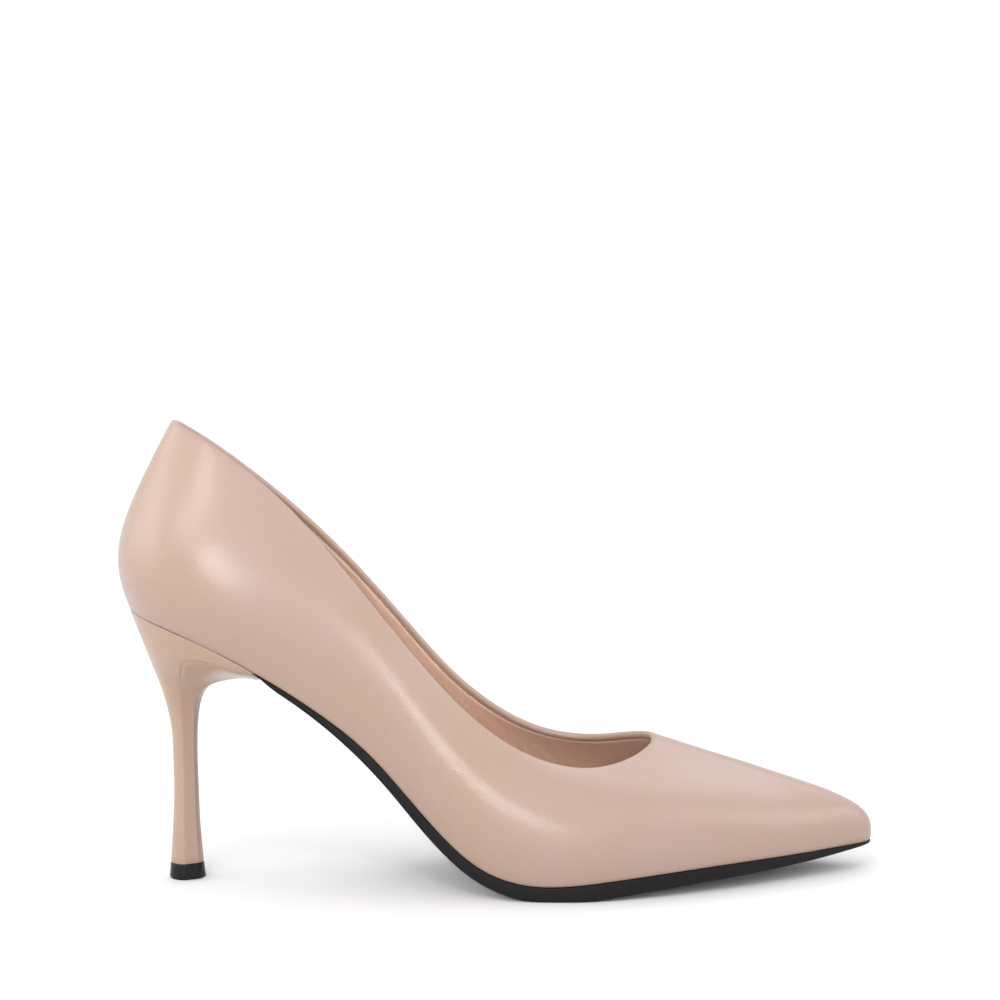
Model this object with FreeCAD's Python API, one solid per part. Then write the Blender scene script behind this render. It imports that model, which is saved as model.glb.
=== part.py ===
"""Stiletto court pump, right shoe, EU 38.

The upper is one shell, worked out by stations that go round the shoe from the centre of the
heel, along the outer (lateral) side to the toe, and back along the inner (medial) side.  At
each station the wall is a conic arc from the foot edge, where upper meets sole, to the topline.
Every layer of the upper lies at its own depth under that shell.  The insole, the shank and the
outsole follow one side profile, the seat line, at their own heights above or below it.

While modelling: X runs to the toe from the rearmost point of the heel, Y to the medial side,
Z up from the ground.  At the end everything moves so that the origin is under the middle.
All lengths are in millimetres.
"""
import FreeCAD, Part
import math
import os
from collections import namedtuple

V = FreeCAD.Vector
UP = V(0, 0, 1)

# ---------------------------------------------------------------- driving dimensions
SHIFT_TO_ORIGIN = V(-122.4, 0.9, 0)     # modelling frame to the finished frame
FOOT_LENGTH = 246.0                     # length over which the bottom parts are cut out
SEAT_LINE = (                           # side profile of the foot edge: x, height
    (-4.0, 90.6), (4.2, 88.0), (20.0, 82.9), (34.0, 76.5), (50.0, 67.0), (66.0, 55.8),
    (80.0, 43.9), (92.0, 30.6), (102.0, 19.6), (112.0, 11.0), (122.0, 6.4), (134.0, 4.7),
    (150.0, 5.6), (172.0, 7.3), (200.0, 8.3), (225.0, 8.6), (244.0, 9.0), (252.0, 9.2))

# One row per station from heel to toe.  foot: where the wall starts, x and the y of each
# side.  top: the topline, x and (y, z) of each side.  bulge and rise place the corner of the
# conic out from and above the foot edge, and fullness is its weight.  margin is the width of
# the lasting margin turned in under the insole.
Station = namedtuple("Station", "foot_x lateral_y medial_y top_x top_lateral top_medial "
                                "bulge rise fullness margin")
BACK = Station(4.1, 0.0, 0.0, 18.3, (0.0, 148.4), (0.0, 148.4), 7.9, 19.8, 1.88, 8.0)
SIDES = (
    Station(7.0, -10.5, 10.5, 19.8, (-5.2, 147.8), (5.4, 147.5), 9.1, 19.8, 1.76, 8.0),
    Station(14.0, -18.2, 18.0, 24.9, (-9.8, 145.5), (10.2, 144.0), 11.4, 19.9, 1.46, 8.0),
    Station(25.0, -23.2, 22.6, 32.8, (-14.2, 140.9), (14.8, 138.2), 13.7, 20.0, 1.13, 8.0),
    Station(40.0, -24.2, 22.8, 45.0, (-17.2, 132.1), (18.0, 128.5), 14.0, 22.0, 1.0, 8.0),
    Station(58.0, -22.2, 19.8, 59.5, (-20.0, 118.6), (20.8, 115.6), 12.5, 26.0, 1.0, 8.0),
    Station(77.0, -21.8, 17.4, 75.5, (-22.0, 99.6), (23.0, 99.2), 11.5, 27.0, 1.0, 8.0),
    Station(95.0, -25.2, 19.4, 91.5, (-24.0, 79.8), (24.8, 80.7), 12.0, 26.0, 1.0, 8.0),
    Station(112.5, -31.6, 25.6, 107.0, (-25.4, 62.3), (26.2, 63.1), 11.0, 25.0, 1.0, 8.0),
    Station(130.5, -36.2, 32.4, 122.5, (-25.9, 49.3), (26.6, 50.3), 9.5, 23.0, 1.0, 8.0),
    Station(149.0, -37.0, 35.4, 137.0, (-24.8, 42.2), (25.5, 43.2), 8.5, 22.0, 1.0, 8.0),
    Station(168.0, -33.4, 33.0, 149.5, (-21.6, 39.8), (22.2, 41.4), 7.0, 21.0, 1.05, 8.0),
    Station(187.0, -27.0, 27.6, 159.2, (-16.3, 40.4), (17.4, 42.6), 5.0, 19.0, 1.2, 8.0),
    Station(204.5, -19.6, 22.2, 165.8, (-10.4, 42.0), (12.0, 44.3), 3.5, 16.5, 1.5, 7.4),
    Station(220.1, -12.0, 17.0, 169.6, (-5.4, 43.6), (7.2, 45.2), 2.5, 14.0, 1.9, 6.2),
    Station(232.7, -4.9, 12.4, 171.0, (-2.6, 44.4), (4.6, 45.3), 1.9, 12.5, 2.4, 4.6),
    Station(240.8, -0.1, 8.9, 171.3, (-0.6, 44.9), (2.6, 45.3), 1.7, 12.4, 2.65, 3.4))
TIP = Station(243.7, 4.5, 4.5, 171.4, (1.0, 45.2), (1.0, 45.2), 1.7, 12.2, 2.75, 3.0)

LEATHER = 1.0               # upper leather
FLAP = 0.8                  # its skived edge, folded in along the topline
FOLD_RADIUS = 1.2           # outer radius of that fold, so the topline is 2.4 thick
FLAP_DROP = 2.7             # how far down the inside the folded edge shows
SEAM_GAP = 0.1              # butt seam at the centre of the heel
CLEAR = 0.04                # clearance between pieces that are glued face to face
INTERLINING = 0.7
COUNTER = 0.6
PUFF = 0.75
LINING = 0.7
LINING_DEPTH = 1.9          # depth of the lining's hidden face under the outer surface
SEAM_TAPE = 0.2
TOPLINE_TAPE = 0.35

INSOLE = 1.6
SHANK = 1.0
SHANK_BOARD = 1.2
HEEL_PAD = 1.5
SOCK = 0.8
INSOLE_INSET = 3.1          # insole edge inside the foot edge
SOCK_INSET = 2.4
SHANK_WIDTH = 12.0
SHANK_SPAN = (20.0, 126.0)
RIVET_PLACES = (62.0, 112.0)
SHANK_LOW = 0.03            # height of the shank and the cork over the seat line
FILLER_SPAN = (128.5, 214.0)
BOARD_END = 118.0           # front edge of the shank board
PAD_END = 62.0              # front edge of the heel pad
PAD_FADE = (40.0, 66.0)     # x over which its thickness runs out

SOLE_START = 46.3           # outsole butts against the heel breast
# Underside of the outsole: x, height from the heel breast to the tread, which lies flat on the
# ground, and from the tread to the toe.
SOLE_WAIST = ((43.0, 70.3), (52.2, 63.6), (60.9, 57.0), (69.0, 50.1), (78.6, 40.8), (87.0, 31.5),
              (95.0, 21.9), (103.2, 13.2), (112.0, 6.2), (121.2, 1.9))
TREAD_SPAN = (131.5, 146.0)
SOLE_TOE = ((155.0, 0.7), (165.0, 1.8), (184.0, 3.2), (204.0, 4.3), (218.0, 5.3), (232.0, 6.5),
            (244.0, 8.0), (252.0, 8.6))
SOLE_SLOPES = (-0.72, 0.05)         # of that underside at the heel breast and at the toe

COUNTER_REACH = 5.6         # stations from the centre of the heel to the counter's wings
GRIP_REACH = 2.6            # and to the ends of the suede heel grip
VAMP_SEAM = 9.2             # station where the quarter linings meet the vamp lining
PUFF_REACH = 4.4            # stations from the tip to the ends of the toe puff
PUFF_SPREAD = 5.0           # stations over which its edge comes down to the foot edge
PUFF_LENGTH = 46.0          # its length over the toes

COVER = 0.6                 # leather cover of the heel
LIFT_HEIGHT = 5.2
STEM_X = 21.0               # axis of the heel's stem
STEM = (                    # stem sections: height, back x, front x, half width
    (62.5, 13.4, 28.8, 8.6), (56.0, 15.2, 25.8, 5.6), (49.0, 16.5, 25.0, 4.3),
    (40.0, 16.9, 24.8, 3.8), (30.0, 17.05, 25.0, 3.75), (18.0, 16.6, 25.35, 4.1),
    (LIFT_HEIGHT, 15.75, 26.35, 4.9))
# Rings of the heel's cup, half a turn each from the back to the middle of the breast.
RIM_TOP = 96.0              # height to which the rim is drawn before it is trimmed to the seat
CUP_RIM = ((3.9, 0.0), (8.8, 13.2), (20.0, 21.6), (33.0, 24.2), (42.6, 24.0), (45.1, 21.6),
           (45.3, 11.0), (45.3, 0.0))
CUP_LIP = ((7.5, 0.0, 78.5), (11.8, 12.4, 77.2), (21.0, 19.4, 75.2), (32.5, 22.0, 73.0),
           (42.0, 21.8, 69.6), (44.2, 19.8, 68.6), (45.2, 10.5, 66.0), (45.3, 0.0, 64.8))
CUP_COVE = ((10.6, 0.0, 70.0), (13.8, 9.0, 69.2), (20.5, 13.2, 68.4), (27.0, 13.0, 67.8),
            (32.5, 10.6, 67.0), (34.6, 9.0, 66.6), (37.0, 4.6, 65.5), (37.5, 0.0, 65.1))
LIFT_TOP_GAP = 0.03
LIFT = (                    # top lift sections, as for the stem
    (LIFT_HEIGHT - LIFT_TOP_GAP, 15.7, 26.4, 4.95), (2.4, 15.45, 26.65, 5.1),
    (0.0, 15.2, 27.0, 5.3))
DOWEL_RADIUS = 1.8
DOWEL_BORE = 1.2
DOWEL_TOP = 66.0
DOWEL_END_GAP = 0.4         # between the dowel and the top lift
PIN_RADIUS = 1.15
PIN_LOW = 1.6               # heights of the two ends of the top lift's pin
PIN_TOP = 16.0
PIN_FLANGE = (2.6, 0.8)     # radius, height

# Turned fasteners: radius and depth of the head, depth where the shank starts, its radius,
# height of its rings or thread, and the depths where they start and end, tip radius, length.
Fastener = namedtuple("Fastener", "head head_depth neck shank ridge ridge_start ridge_end "
                                  "tip length")
NAIL = Fastener(2.0, 0.6, 0.9, 0.85, 0.15, 2.0, 10.4, 0.1, 12.2)
SCREW = Fastener(3.2, 0.4, 1.9, 1.4, 0.5, 3.6, 14.4, 0.2, 16.4)
RIDGE_PITCH = 1.2
HEAD_RECESS = 0.02          # heads lie this far under the top of the shank board
NAIL_PLACES = ((18.0, 0.0), (22.0, -11.0), (22.0, 11.0), (36.0, -12.0), (36.0, 12.0))
SCREW_X = 33.0
RIVET_RADIUS = 1.4
RIVET_HEAD = 0.35           # thickness of its rolled head
RIVET_FLARE = 0.9           # how far the head stands out past the shank
HOLE_GAP = 0.03             # between a fastener and its hole

COLUMNS_PER_STATION = 3
WALL_ROWS = 12
HEEL_COLUMNS = 56
HEEL_ROWS = 40
LIFT_COLUMNS = 24
PROFILE_SPAN = (-4.0, 250.0)        # x range of the side profiles
PROFILE_POINTS = 64
CUTTER_HALF = 60.0                  # cutting bodies reach past the shoe: half width,
CUTTER_LOW = -10.0                  # lowest height
CUTTER_TALL = 130.0                 # and how tall they are


# ---------------------------------------------------------------- curves and skins
def interpolated(points, parameters):
    """Cubic curve through the points at the given parameters."""
    curve = Part.BSplineCurve()
    curve.interpolate(Points=points, Parameters=[float(p) for p in parameters])
    return curve


def skin_surface(grid):
    """Smooth surface through a grid of points.

    Two surfaces that share a boundary row or column get exactly the same edge there.
    """
    along = range(len(grid))
    across = range(len(grid[0]))
    tracks = [interpolated([grid[i][j] for i in along], along) for j in across]
    ribs = [interpolated([track.getPole(i + 1) for track in tracks], across)
            for i in range(tracks[0].NbPoles)]
    surface = Part.BSplineSurface()
    surface.buildFromPolesMultsKnots(
        [rib.getPoles() for rib in ribs],
        tracks[0].getMultiplicities(), ribs[0].getMultiplicities(),
        tracks[0].getKnots(), ribs[0].getKnots(),
        False, False, tracks[0].Degree, ribs[0].Degree)
    return surface


def skin(grid):
    return skin_surface(grid).toShape()


def tube_solid(grid):
    """Solid whose side closes on itself, with a flat cap at each end."""
    last, ends = len(grid) - 1, (0, len(grid[0]) - 1)
    surface = skin_surface(grid)
    halves = ((0, last // 2), (last // 2, last))
    faces = [surface.toShape(a, b, ends[0], ends[1]) for a, b in halves]
    for j in ends:
        rim = interpolated([column[j] for column in grid], range(last + 1))
        faces.append(Part.Face(Part.Wire([rim.toShape(a, b) for a, b in halves])))
    return solid_from(faces)


def solid_from(faces):
    """Closed solid from faces that share their edges."""
    shell = Part.makeShell(faces)
    shell.sewShape()
    solid = Part.makeSolid(Part.Shell(shell.Faces))
    if solid.Volume < 0:
        solid.reverse()
    return solid


def block_between(outer, inner):
    """Solid between two grids of the same size."""
    last = len(outer) - 1
    faces = [skin(outer), skin(inner)]
    faces += [skin([outer[i], inner[i]]) for i in (0, last)]
    for j in (0, len(outer[0]) - 1):
        faces.append(skin([[row[j] for row in outer], [row[j] for row in inner]]))
    return solid_from(faces)


def spread(low, high, count):
    """Evenly spaced values, both ends included."""
    return [low + (high - low) * i / (count - 1) for i in range(count)]


# ---------------------------------------------------------------- the seat surface
SEAT_CURVE = interpolated([V(x, 0, z) for x, z in SEAT_LINE], [x for x, z in SEAT_LINE])


def seat_point(x, y=0.0):
    """Point of the seat surface, which is the same right across the shoe."""
    return V(x, y, SEAT_CURVE.value(x).z)


def seat_normal(x):
    """Upward unit normal of the seat surface."""
    along = SEAT_CURVE.tangent(x)[0]
    return V(-along.z, 0, along.x)


def lifted(point, height):
    """A point of the seat surface raised square to it."""
    return point + seat_normal(point.x) * height


def seat_offset(height, span=PROFILE_SPAN):
    """Side profile that runs at a height above the seat line; height may depend on x."""
    rise = height if callable(height) else lambda x: height
    stations = spread(span[0], span[1], PROFILE_POINTS)
    return interpolated([lifted(seat_point(x), rise(x)) for x in stations], stations)


# ---------------------------------------------------------------- the shell of the upper
Ring = namedtuple("Ring", "foot top form")


def ring_of_stations():
    """Stations all the way round: back, lateral side, tip, medial side."""
    def entry(row, y, top):
        return Ring(V(row.foot_x, y, row.margin), V(row.top_x, *top),
                    V(row.bulge, row.rise, row.fullness))
    ring = [entry(BACK, 0.0, BACK.top_lateral)]
    ring += [entry(row, row.lateral_y, row.top_lateral) for row in SIDES]
    ring.append(entry(TIP, TIP.lateral_y, TIP.top_lateral))
    ring += [entry(row, row.medial_y, row.top_medial) for row in reversed(SIDES)]
    return ring


RING = ring_of_stations()
TURN = len(RING)                    # one turn round the shoe, in stations
TOE = len(SIDES) + 1                # station of the tip
WRAP = 4                            # stations repeated at each end to close the turn smoothly


def closed_rail(field):
    """Curve through one field of the stations, smooth where the turn closes."""
    order = range(-WRAP, TURN + WRAP + 1)
    return interpolated([getattr(RING[i % TURN], field) for i in order], order)


FOOT_RAIL = closed_rail("foot")
TOP_RAIL = closed_rail("top")
FORM_RAIL = closed_rail("form")


def foot_point(u):
    place = FOOT_RAIL.value(u % TURN)
    return seat_point(place.x, place.y)


def outward(u):
    """Unit vector square to the foot edge in plan, pointing out of the shoe."""
    step = 0.02
    along = FOOT_RAIL.value(u % TURN + step) - FOOT_RAIL.value(u % TURN - step)
    return V(along.y, -along.x, 0).normalize()


class Meridian:
    """The wall at one station: a conic arc from foot edge to topline."""
    SAMPLES = 60

    def __init__(self, u):
        form = FORM_RAIL.value(u % TURN)
        self.foot = foot_point(u)
        self.top = TOP_RAIL.value(u % TURN)
        self.corner = self.foot + outward(u) * form.x + UP * form.y
        self.weight = form.z
        self.lengths = [0.0]
        previous = self.foot
        for i in range(1, self.SAMPLES + 1):
            point = self.at(i / self.SAMPLES)
            self.lengths.append(self.lengths[-1] + previous.distanceToPoint(point))
            previous = point
        self.length = self.lengths[-1]

    def at(self, t):
        a, b, c = (1 - t) ** 2, 2 * self.weight * t * (1 - t), t * t
        return (self.foot * a + self.corner * b + self.top * c) * (1 / (a + b + c))

    def parameter(self, distance):
        """Parameter of the point at this distance from the foot edge along the wall."""
        return self._invert(self.lengths, distance)

    def blended(self, distance):
        """Row spacing measure: half by length, half by parameter, so bends get more rows."""
        return 0.5 * distance / self.length + 0.5 * self.parameter(distance)

    def row_parameters(self, low, high, count):
        """Parameters of evenly blended rows between two distances from the foot edge."""
        table = [0.5 * self.lengths[i] / self.length + 0.5 * i / self.SAMPLES
                 for i in range(self.SAMPLES + 1)]
        wanted = spread(self.blended(low), self.blended(high), count)
        return [self._invert(table, value) for value in wanted]

    def _invert(self, table, value):
        for i in range(self.SAMPLES):
            if table[i + 1] >= value:
                break
        return (i + (value - table[i]) / (table[i + 1] - table[i])) / self.SAMPLES


MERIDIANS = {}


def meridian(u):
    key = round(u % TURN, 5)
    if key not in MERIDIANS:
        MERIDIANS[key] = Meridian(u)
    return MERIDIANS[key]


def shell_point(u, t, depth=0.0):
    """Point under the shell's outer surface at a depth square to it."""
    step_u, step_t = 0.01, 0.002
    if depth == 0.0:
        return meridian(u).at(t)
    along = meridian(u + step_u).at(t) - meridian(u - step_u).at(t)
    rising = meridian(u).at(t + step_t) - meridian(u).at(t - step_t)
    inward = rising.cross(along).normalize()
    return meridian(u).at(t) + inward * depth


def turn_columns(start, end):
    """Column positions between two stations."""
    count = max(3, round((end - start) * COLUMNS_PER_STATION) + 1)
    return spread(start, end, count)


def layer_grid(columns, low, high, depth, rows=WALL_ROWS):
    """Grid at one depth; low and high give each column's distances from the foot edge."""
    grid = []
    for u in columns:
        wall = meridian(u)
        parameters = wall.row_parameters(low(u), high(u), rows)
        grid.append([shell_point(u, t, depth) for t in parameters])
    return grid


def layer(start, end, low, high, depth, thickness, rows=WALL_ROWS):
    """One layer of the upper between two stations."""
    columns = turn_columns(start, end)
    return block_between(layer_grid(columns, low, high, depth, rows),
                         layer_grid(columns, low, high, depth + thickness, rows))


def below_top(drop):
    """Distance from the foot edge of a line that runs below the topline."""
    return lambda u: meridian(u).length - drop


def constant(value):
    return lambda u: value


# ---------------------------------------------------------------- the upper
def fold(u, depth_middle, radius, count):
    """Half a turn from outside to inside round a centre at the topline."""
    wall = meridian(u)
    t = wall.parameter(wall.length - FOLD_RADIUS)
    start = shell_point(u, t, depth_middle)
    inward = (start - shell_point(u, t)).normalize()
    rising = (wall.at(t + 0.002) - wall.at(t - 0.002)).normalize()
    angles = spread(0.0, math.pi, count)
    return [start - inward * (radius * math.cos(a)) + rising * (radius * math.sin(a))
            for a in angles]


def on_seam(points, y):
    """The same points moved onto the plane of the heel seam."""
    return [V(p.x, y, p.z) for p in points]


def upper_leather():
    """Whole upper, closed at the heel, folded in at the topline and turned in at the foot."""
    hidden_depth = 2 * FOLD_RADIUS - FLAP
    slot_radius = (hidden_depth - LEATHER) / 2
    margin_rows, flap_rows, fold_rows = 4, 4, 7
    columns = turn_columns(0, TURN)
    strips = []
    for u in columns:
        wall = meridian(u)
        margin = FOOT_RAIL.value(u % TURN).z
        top = wall.length - FOLD_RADIUS
        flap_end = wall.length - FLAP_DROP
        foot = wall.foot
        steps = spread(0.0, margin, margin_rows)
        under = [seat_point(foot.x - outward(u).x * d, foot.y - outward(u).y * d)
                 for d in steps]
        inner_start = wall.parameter(LEATHER)
        inner_rows = [shell_point(u, t, LEATHER)
                      for t in wall.row_parameters(LEATHER, top, WALL_ROWS)]
        first = shell_point(u, inner_start, LEATHER)
        over = [lifted(p, LEATHER) for p in under]
        over[0] = first
        down = wall.row_parameters(top, flap_end, flap_rows)
        round_out = fold(u, FOLD_RADIUS, FOLD_RADIUS, fold_rows)
        round_in = fold(u, LEATHER + slot_radius, slot_radius, fold_rows)
        outer_rows = [shell_point(u, t) for t in wall.row_parameters(0.0, top, WALL_ROWS)]
        outer_rows[-1] = round_out[0]
        inner_rows[0] = first
        inner_rows[-1] = round_in[0]
        flap_face = [shell_point(u, t, 2 * FOLD_RADIUS) for t in down]
        flap_face[0] = round_out[-1]
        flap_back = [shell_point(u, t, hidden_depth) for t in down]
        flap_back[0] = round_in[-1]
        under[0] = outer_rows[0]
        strips.append([under, outer_rows, round_out, flap_face,
                       [flap_face[-1], flap_back[-1]], flap_back, round_in, inner_rows,
                       over, [under[-1], over[-1]]])
    strips[0] = [on_seam(points, -SEAM_GAP / 2) for points in strips[0]]
    strips[-1] = [on_seam(points, SEAM_GAP / 2) for points in strips[-1]]
    faces = [skin([strip[k] for strip in strips]) for k in range(len(strips[0]))]
    for end in (strips[0], strips[-1]):
        edges = [interpolated(points, range(len(points))).toShape() for points in end]
        faces.append(Part.Face(Part.Wire(Part.__sortEdges__(edges))))
    return solid_from(faces)


def topline_tape():
    """Thin tape laid in the fold so that the opening doesn't stretch."""
    gap = 0.01
    return layer(gap, TURN - gap, below_top(FLAP_DROP), below_top(FOLD_RADIUS + 0.1),
                 LEATHER + CLEAR, TOPLINE_TAPE, rows=3)


def back_seam_tape():
    return layer(-0.5, 0.5, constant(2.0), below_top(5.0), LEATHER + CLEAR, SEAM_TAPE)


def puff_edge(u):
    """Distance from the foot edge to the rear edge of the toe puff."""
    away = min(abs(u - TOE) / PUFF_SPREAD, 1.0)
    return LEATHER + 0.2 + PUFF_LENGTH * (0.5 + 0.5 * math.cos(math.pi * away))


def heel_counter():
    """Stiffener moulded round the heel, lower towards its two wings."""
    def top_edge(u):
        fall = 12.0 + 34.0 * (u / COUNTER_REACH) ** 2
        return meridian(u).length - fall
    depth = LEATHER + 2 * CLEAR + SEAM_TAPE
    return layer(-COUNTER_REACH, COUNTER_REACH, constant(LEATHER + 0.3), top_edge,
                 depth, COUNTER)


def toe_puff():
    return layer(TOE - PUFF_REACH, TOE + PUFF_REACH, constant(LEATHER + 0.3),
                 lambda u: puff_edge(u) - 0.3, LEATHER + CLEAR, PUFF)


def interlining():
    """Cloth backing of the leather from one counter wing round to the other."""
    start = COUNTER_REACH + 0.05
    return layer(start, TURN - start, puff_edge, below_top(FLAP_DROP + 0.6),
                 LEATHER + CLEAR, INTERLINING)


def lining(start, end):
    gap = 0.008
    return layer(start + gap, end - gap, constant(LEATHER + 0.4),
                 below_top(FLAP_DROP + 0.2), LINING_DEPTH, LINING)


# ---------------------------------------------------------------- bottom parts
def foot_outline(inset, z):
    """Closed wire of the foot edge moved inwards by inset(u), flat at height z."""
    order = range(-WRAP, TURN + WRAP + 1)
    points = [foot_point(u) - outward(u) * inset(u) for u in order]
    curve = interpolated([V(p.x, p.y, z) for p in points], order)
    curve.segment(0, TURN)
    start, end = curve.value(0), curve.value(TURN)
    curve.setPole(1, V(start.x, 0, z))
    curve.setPole(curve.NbPoles, V(start.x, 0, z))
    return Part.Wire([curve.toShape(0, TOE), curve.toShape(TOE, TURN)])


def thick_profile(edges):
    """Solid as wide as a cutting body, from the edges of its side profile."""
    face = Part.Face(Part.Wire(Part.__sortEdges__(edges)))
    face.translate(V(0, -CUTTER_HALF, 0))
    return face.extrude(V(0, 2 * CUTTER_HALF, 0))


def inside_outline(inset):
    """Tall prism inside the foot edge moved inwards by inset(u)."""
    return Part.Face(foot_outline(inset, CUTTER_LOW)).extrude(V(0, 0, CUTTER_TALL))


def between_profiles(lower, upper, x_low, x_high):
    """Solid between two side profiles, cut off square at two x positions."""
    low_end, low_start = lower.value(x_high), lower.value(x_low)
    high_end, high_start = upper.value(x_high), upper.value(x_low)
    low_edge = lower.toShape(x_low, x_high)
    high_edge = upper.toShape(x_low, x_high)
    return thick_profile([low_edge, Part.LineSegment(low_end, high_end).toShape(),
                          high_edge, Part.LineSegment(high_start, low_start).toShape()])


def bottom_sheet(inset, low, high, x_low=0.0, x_high=FOOT_LENGTH):
    """Sheet of the sole stack inside the foot edge, between two heights over the seat line."""
    slab = between_profiles(seat_offset(low), seat_offset(high), x_low, x_high)
    outline = inset if callable(inset) else constant(inset)
    return slab.common(inside_outline(outline)).Solids[0]


INSOLE_LOW = LEATHER + 0.08
INSOLE_HIGH = INSOLE_LOW + INSOLE
BOARD_LOW = INSOLE_HIGH + CLEAR
BOARD_HIGH = BOARD_LOW + SHANK_BOARD


def heel_pad_height(x):
    """Foam under the heel: full behind the arch, running out to nothing."""
    start, end = PAD_FADE
    fade = min(max((x - start) / (end - start), 0.0), 1.0)
    return HEEL_PAD * (0.5 + 0.5 * math.cos(math.pi * fade))


def sock_floor(x):
    return BOARD_HIGH + CLEAR + heel_pad_height(x)


def outsole():
    """Black sole: thin at the heel breast, flat on the tread, thin again at the toe."""
    level = V(1, 0, 0)
    rear = [V(x, 0, z) for x, z in SOLE_WAIST] + [V(TREAD_SPAN[0], 0, 0)]
    rear_curve = Part.BSplineCurve()
    rear_curve.interpolate(Points=rear, InitialTangent=V(1, 0, SOLE_SLOPES[0]),
                           FinalTangent=level)
    tread = Part.LineSegment(V(TREAD_SPAN[0], 0, 0), V(TREAD_SPAN[1], 0, 0))
    front = [V(TREAD_SPAN[1], 0, 0)] + [V(x, 0, z) for x, z in SOLE_TOE]
    front_curve = Part.BSplineCurve()
    front_curve.interpolate(Points=front, InitialTangent=level,
                            FinalTangent=V(1, 0, SOLE_SLOPES[1]))
    span = (rear[0].x - 3.0, front[-1].x - 2.0)
    top = seat_offset(-CLEAR, span)
    ends = (Part.LineSegment(top.value(span[0]), rear[0]),
            Part.LineSegment(top.value(span[1]), front[-1]))
    edges = [rear_curve.toShape(), tread.toShape(), front_curve.toShape(), top.toShape()]
    slab = thick_profile(edges + [line.toShape() for line in ends])
    front_part = Part.makeBox(FOOT_LENGTH, 2 * CUTTER_HALF, CUTTER_TALL,
                              V(SOLE_START, -CUTTER_HALF, CUTTER_LOW))
    return slab.common(inside_outline(constant(0.0))).common(front_part).Solids[0]


def strip(width, x_low, x_high, low, high):
    """Flat strip with round ends, bent to the seat line."""
    slab = between_profiles(seat_offset(low), seat_offset(high), x_low - 2, x_high + 2)
    r = width / 2
    body = Part.makeBox(x_high - x_low - width, width, CUTTER_TALL, V(x_low + r, -r, CUTTER_LOW))
    for x in (x_low + r, x_high - r):
        body = body.fuse(Part.makeCylinder(r, CUTTER_TALL, V(x, 0, CUTTER_LOW)))
    return slab.common(body.removeSplitter()).Solids[0]


def steel_shank():
    """Sprung steel arch bar with a stiffening rib along its middle."""
    start, end = SHANK_SPAN
    bar = strip(SHANK_WIDTH, start, end, SHANK_LOW, SHANK_LOW + SHANK * 0.7)
    rib = strip(SHANK_WIDTH * 0.4, start + 8, end - 22, SHANK_LOW, SHANK_LOW + SHANK)
    return bar.fuse(rib).removeSplitter()


def bottom_filler():
    """Cork sheet that levels the forepart between the lasting margins."""
    def inside_margin(u):
        return 1.1 * FOOT_RAIL.value(u % TURN).z
    return bottom_sheet(inside_margin, SHANK_LOW, LEATHER, *FILLER_SPAN)


# ---------------------------------------------------------------- fasteners
def turned(profile, place, axis):
    """Solid turned from (radius, distance) steps and laid along an axis from a place."""
    points = [V(r, 0, -d) for r, d in profile]
    points = [V(0, 0, points[0].z)] + points + [V(0, 0, points[-1].z)]
    points.append(points[0])
    body = Part.Face(Part.makePolygon(points)).revolve(V(0, 0, 0), UP, 360)
    body = Part.makeSolid(body.Shells[0]) if not body.Solids else body.Solids[0]
    body.Placement = FreeCAD.Placement(place, FreeCAD.Rotation(V(0, 0, -1), axis))
    return body


def ridges(kind):
    """Steps of a shank with rings or thread crests along it."""
    steps = []
    count = int((kind.ridge_end - kind.ridge_start) / RIDGE_PITCH)
    for i in range(count):
        d = kind.ridge_start + i * RIDGE_PITCH
        steps += [(kind.shank, d), (kind.shank + kind.ridge, d + RIDGE_PITCH / 2)]
    steps.append((kind.shank, kind.ridge_start + count * RIDGE_PITCH))
    return steps


def fastener_profile(kind):
    return [(kind.head, 0.0), (kind.head, kind.head_depth), (kind.shank, kind.neck)] \
        + ridges(kind) + [(kind.tip, kind.length)]


def hole_profile(kind):
    """The hole that a fastener needs, open above its head."""
    head, shank = kind.head + HOLE_GAP, kind.shank + kind.ridge + HOLE_GAP
    return [(head, -2.0), (head, kind.head_depth), (shank, kind.neck), (shank, kind.length),
            (kind.tip, kind.length + HOLE_GAP)]


def seat_fastener(profile, x, y):
    """Fastener whose head lies level with the top of the shank board."""
    place = lifted(seat_point(x, y), BOARD_HIGH - HEAD_RECESS)
    return turned(profile, place, seat_normal(x) * -1)


def heel_nails():
    return [seat_fastener(fastener_profile(NAIL), x, y) for x, y in NAIL_PLACES]


def heel_screw():
    return seat_fastener(fastener_profile(SCREW), SCREW_X, 0.0)


def fastener_holes():
    holes = [seat_fastener(hole_profile(NAIL), x, y) for x, y in NAIL_PLACES]
    return holes + [seat_fastener(hole_profile(SCREW), SCREW_X, 0.0)]


def rivets(start, gap, length):
    """Flat-headed pegs at the places of the shank's rivets, their heads in the insole's top."""
    made = []
    for x in RIVET_PLACES:
        place = lifted(seat_point(x), INSOLE_HIGH - CLEAR)
        head, shank = RIVET_RADIUS + RIVET_FLARE + gap, RIVET_RADIUS + gap
        profile = [(head, start), (head, RIVET_HEAD + gap), (shank, RIVET_HEAD + gap),
                   (shank, length)]
        made.append(turned(profile, place, seat_normal(x) * -1))
    return made


def shank_rivets():
    """Rivets that hold the shank under the insole."""
    return rivets(0.0, 0.0, INSOLE_HIGH - CLEAR - 2 * SHANK_LOW)


def rivet_holes():
    return rivets(-1.0, HOLE_GAP, INSOLE_HIGH + 1.0)


def drilled(body, holes):
    for hole in holes:
        body = body.cut(hole)
    return body.Solids[0]


# ---------------------------------------------------------------- the heel
def cup_parameters():
    """Share of the half turn at each point of the cup's rings."""
    lengths = [0.0]
    for a, b in zip(CUP_RIM, CUP_RIM[1:]):
        lengths.append(lengths[-1] + math.dist(a, b))
    return [value / lengths[-1] for value in lengths]


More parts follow.
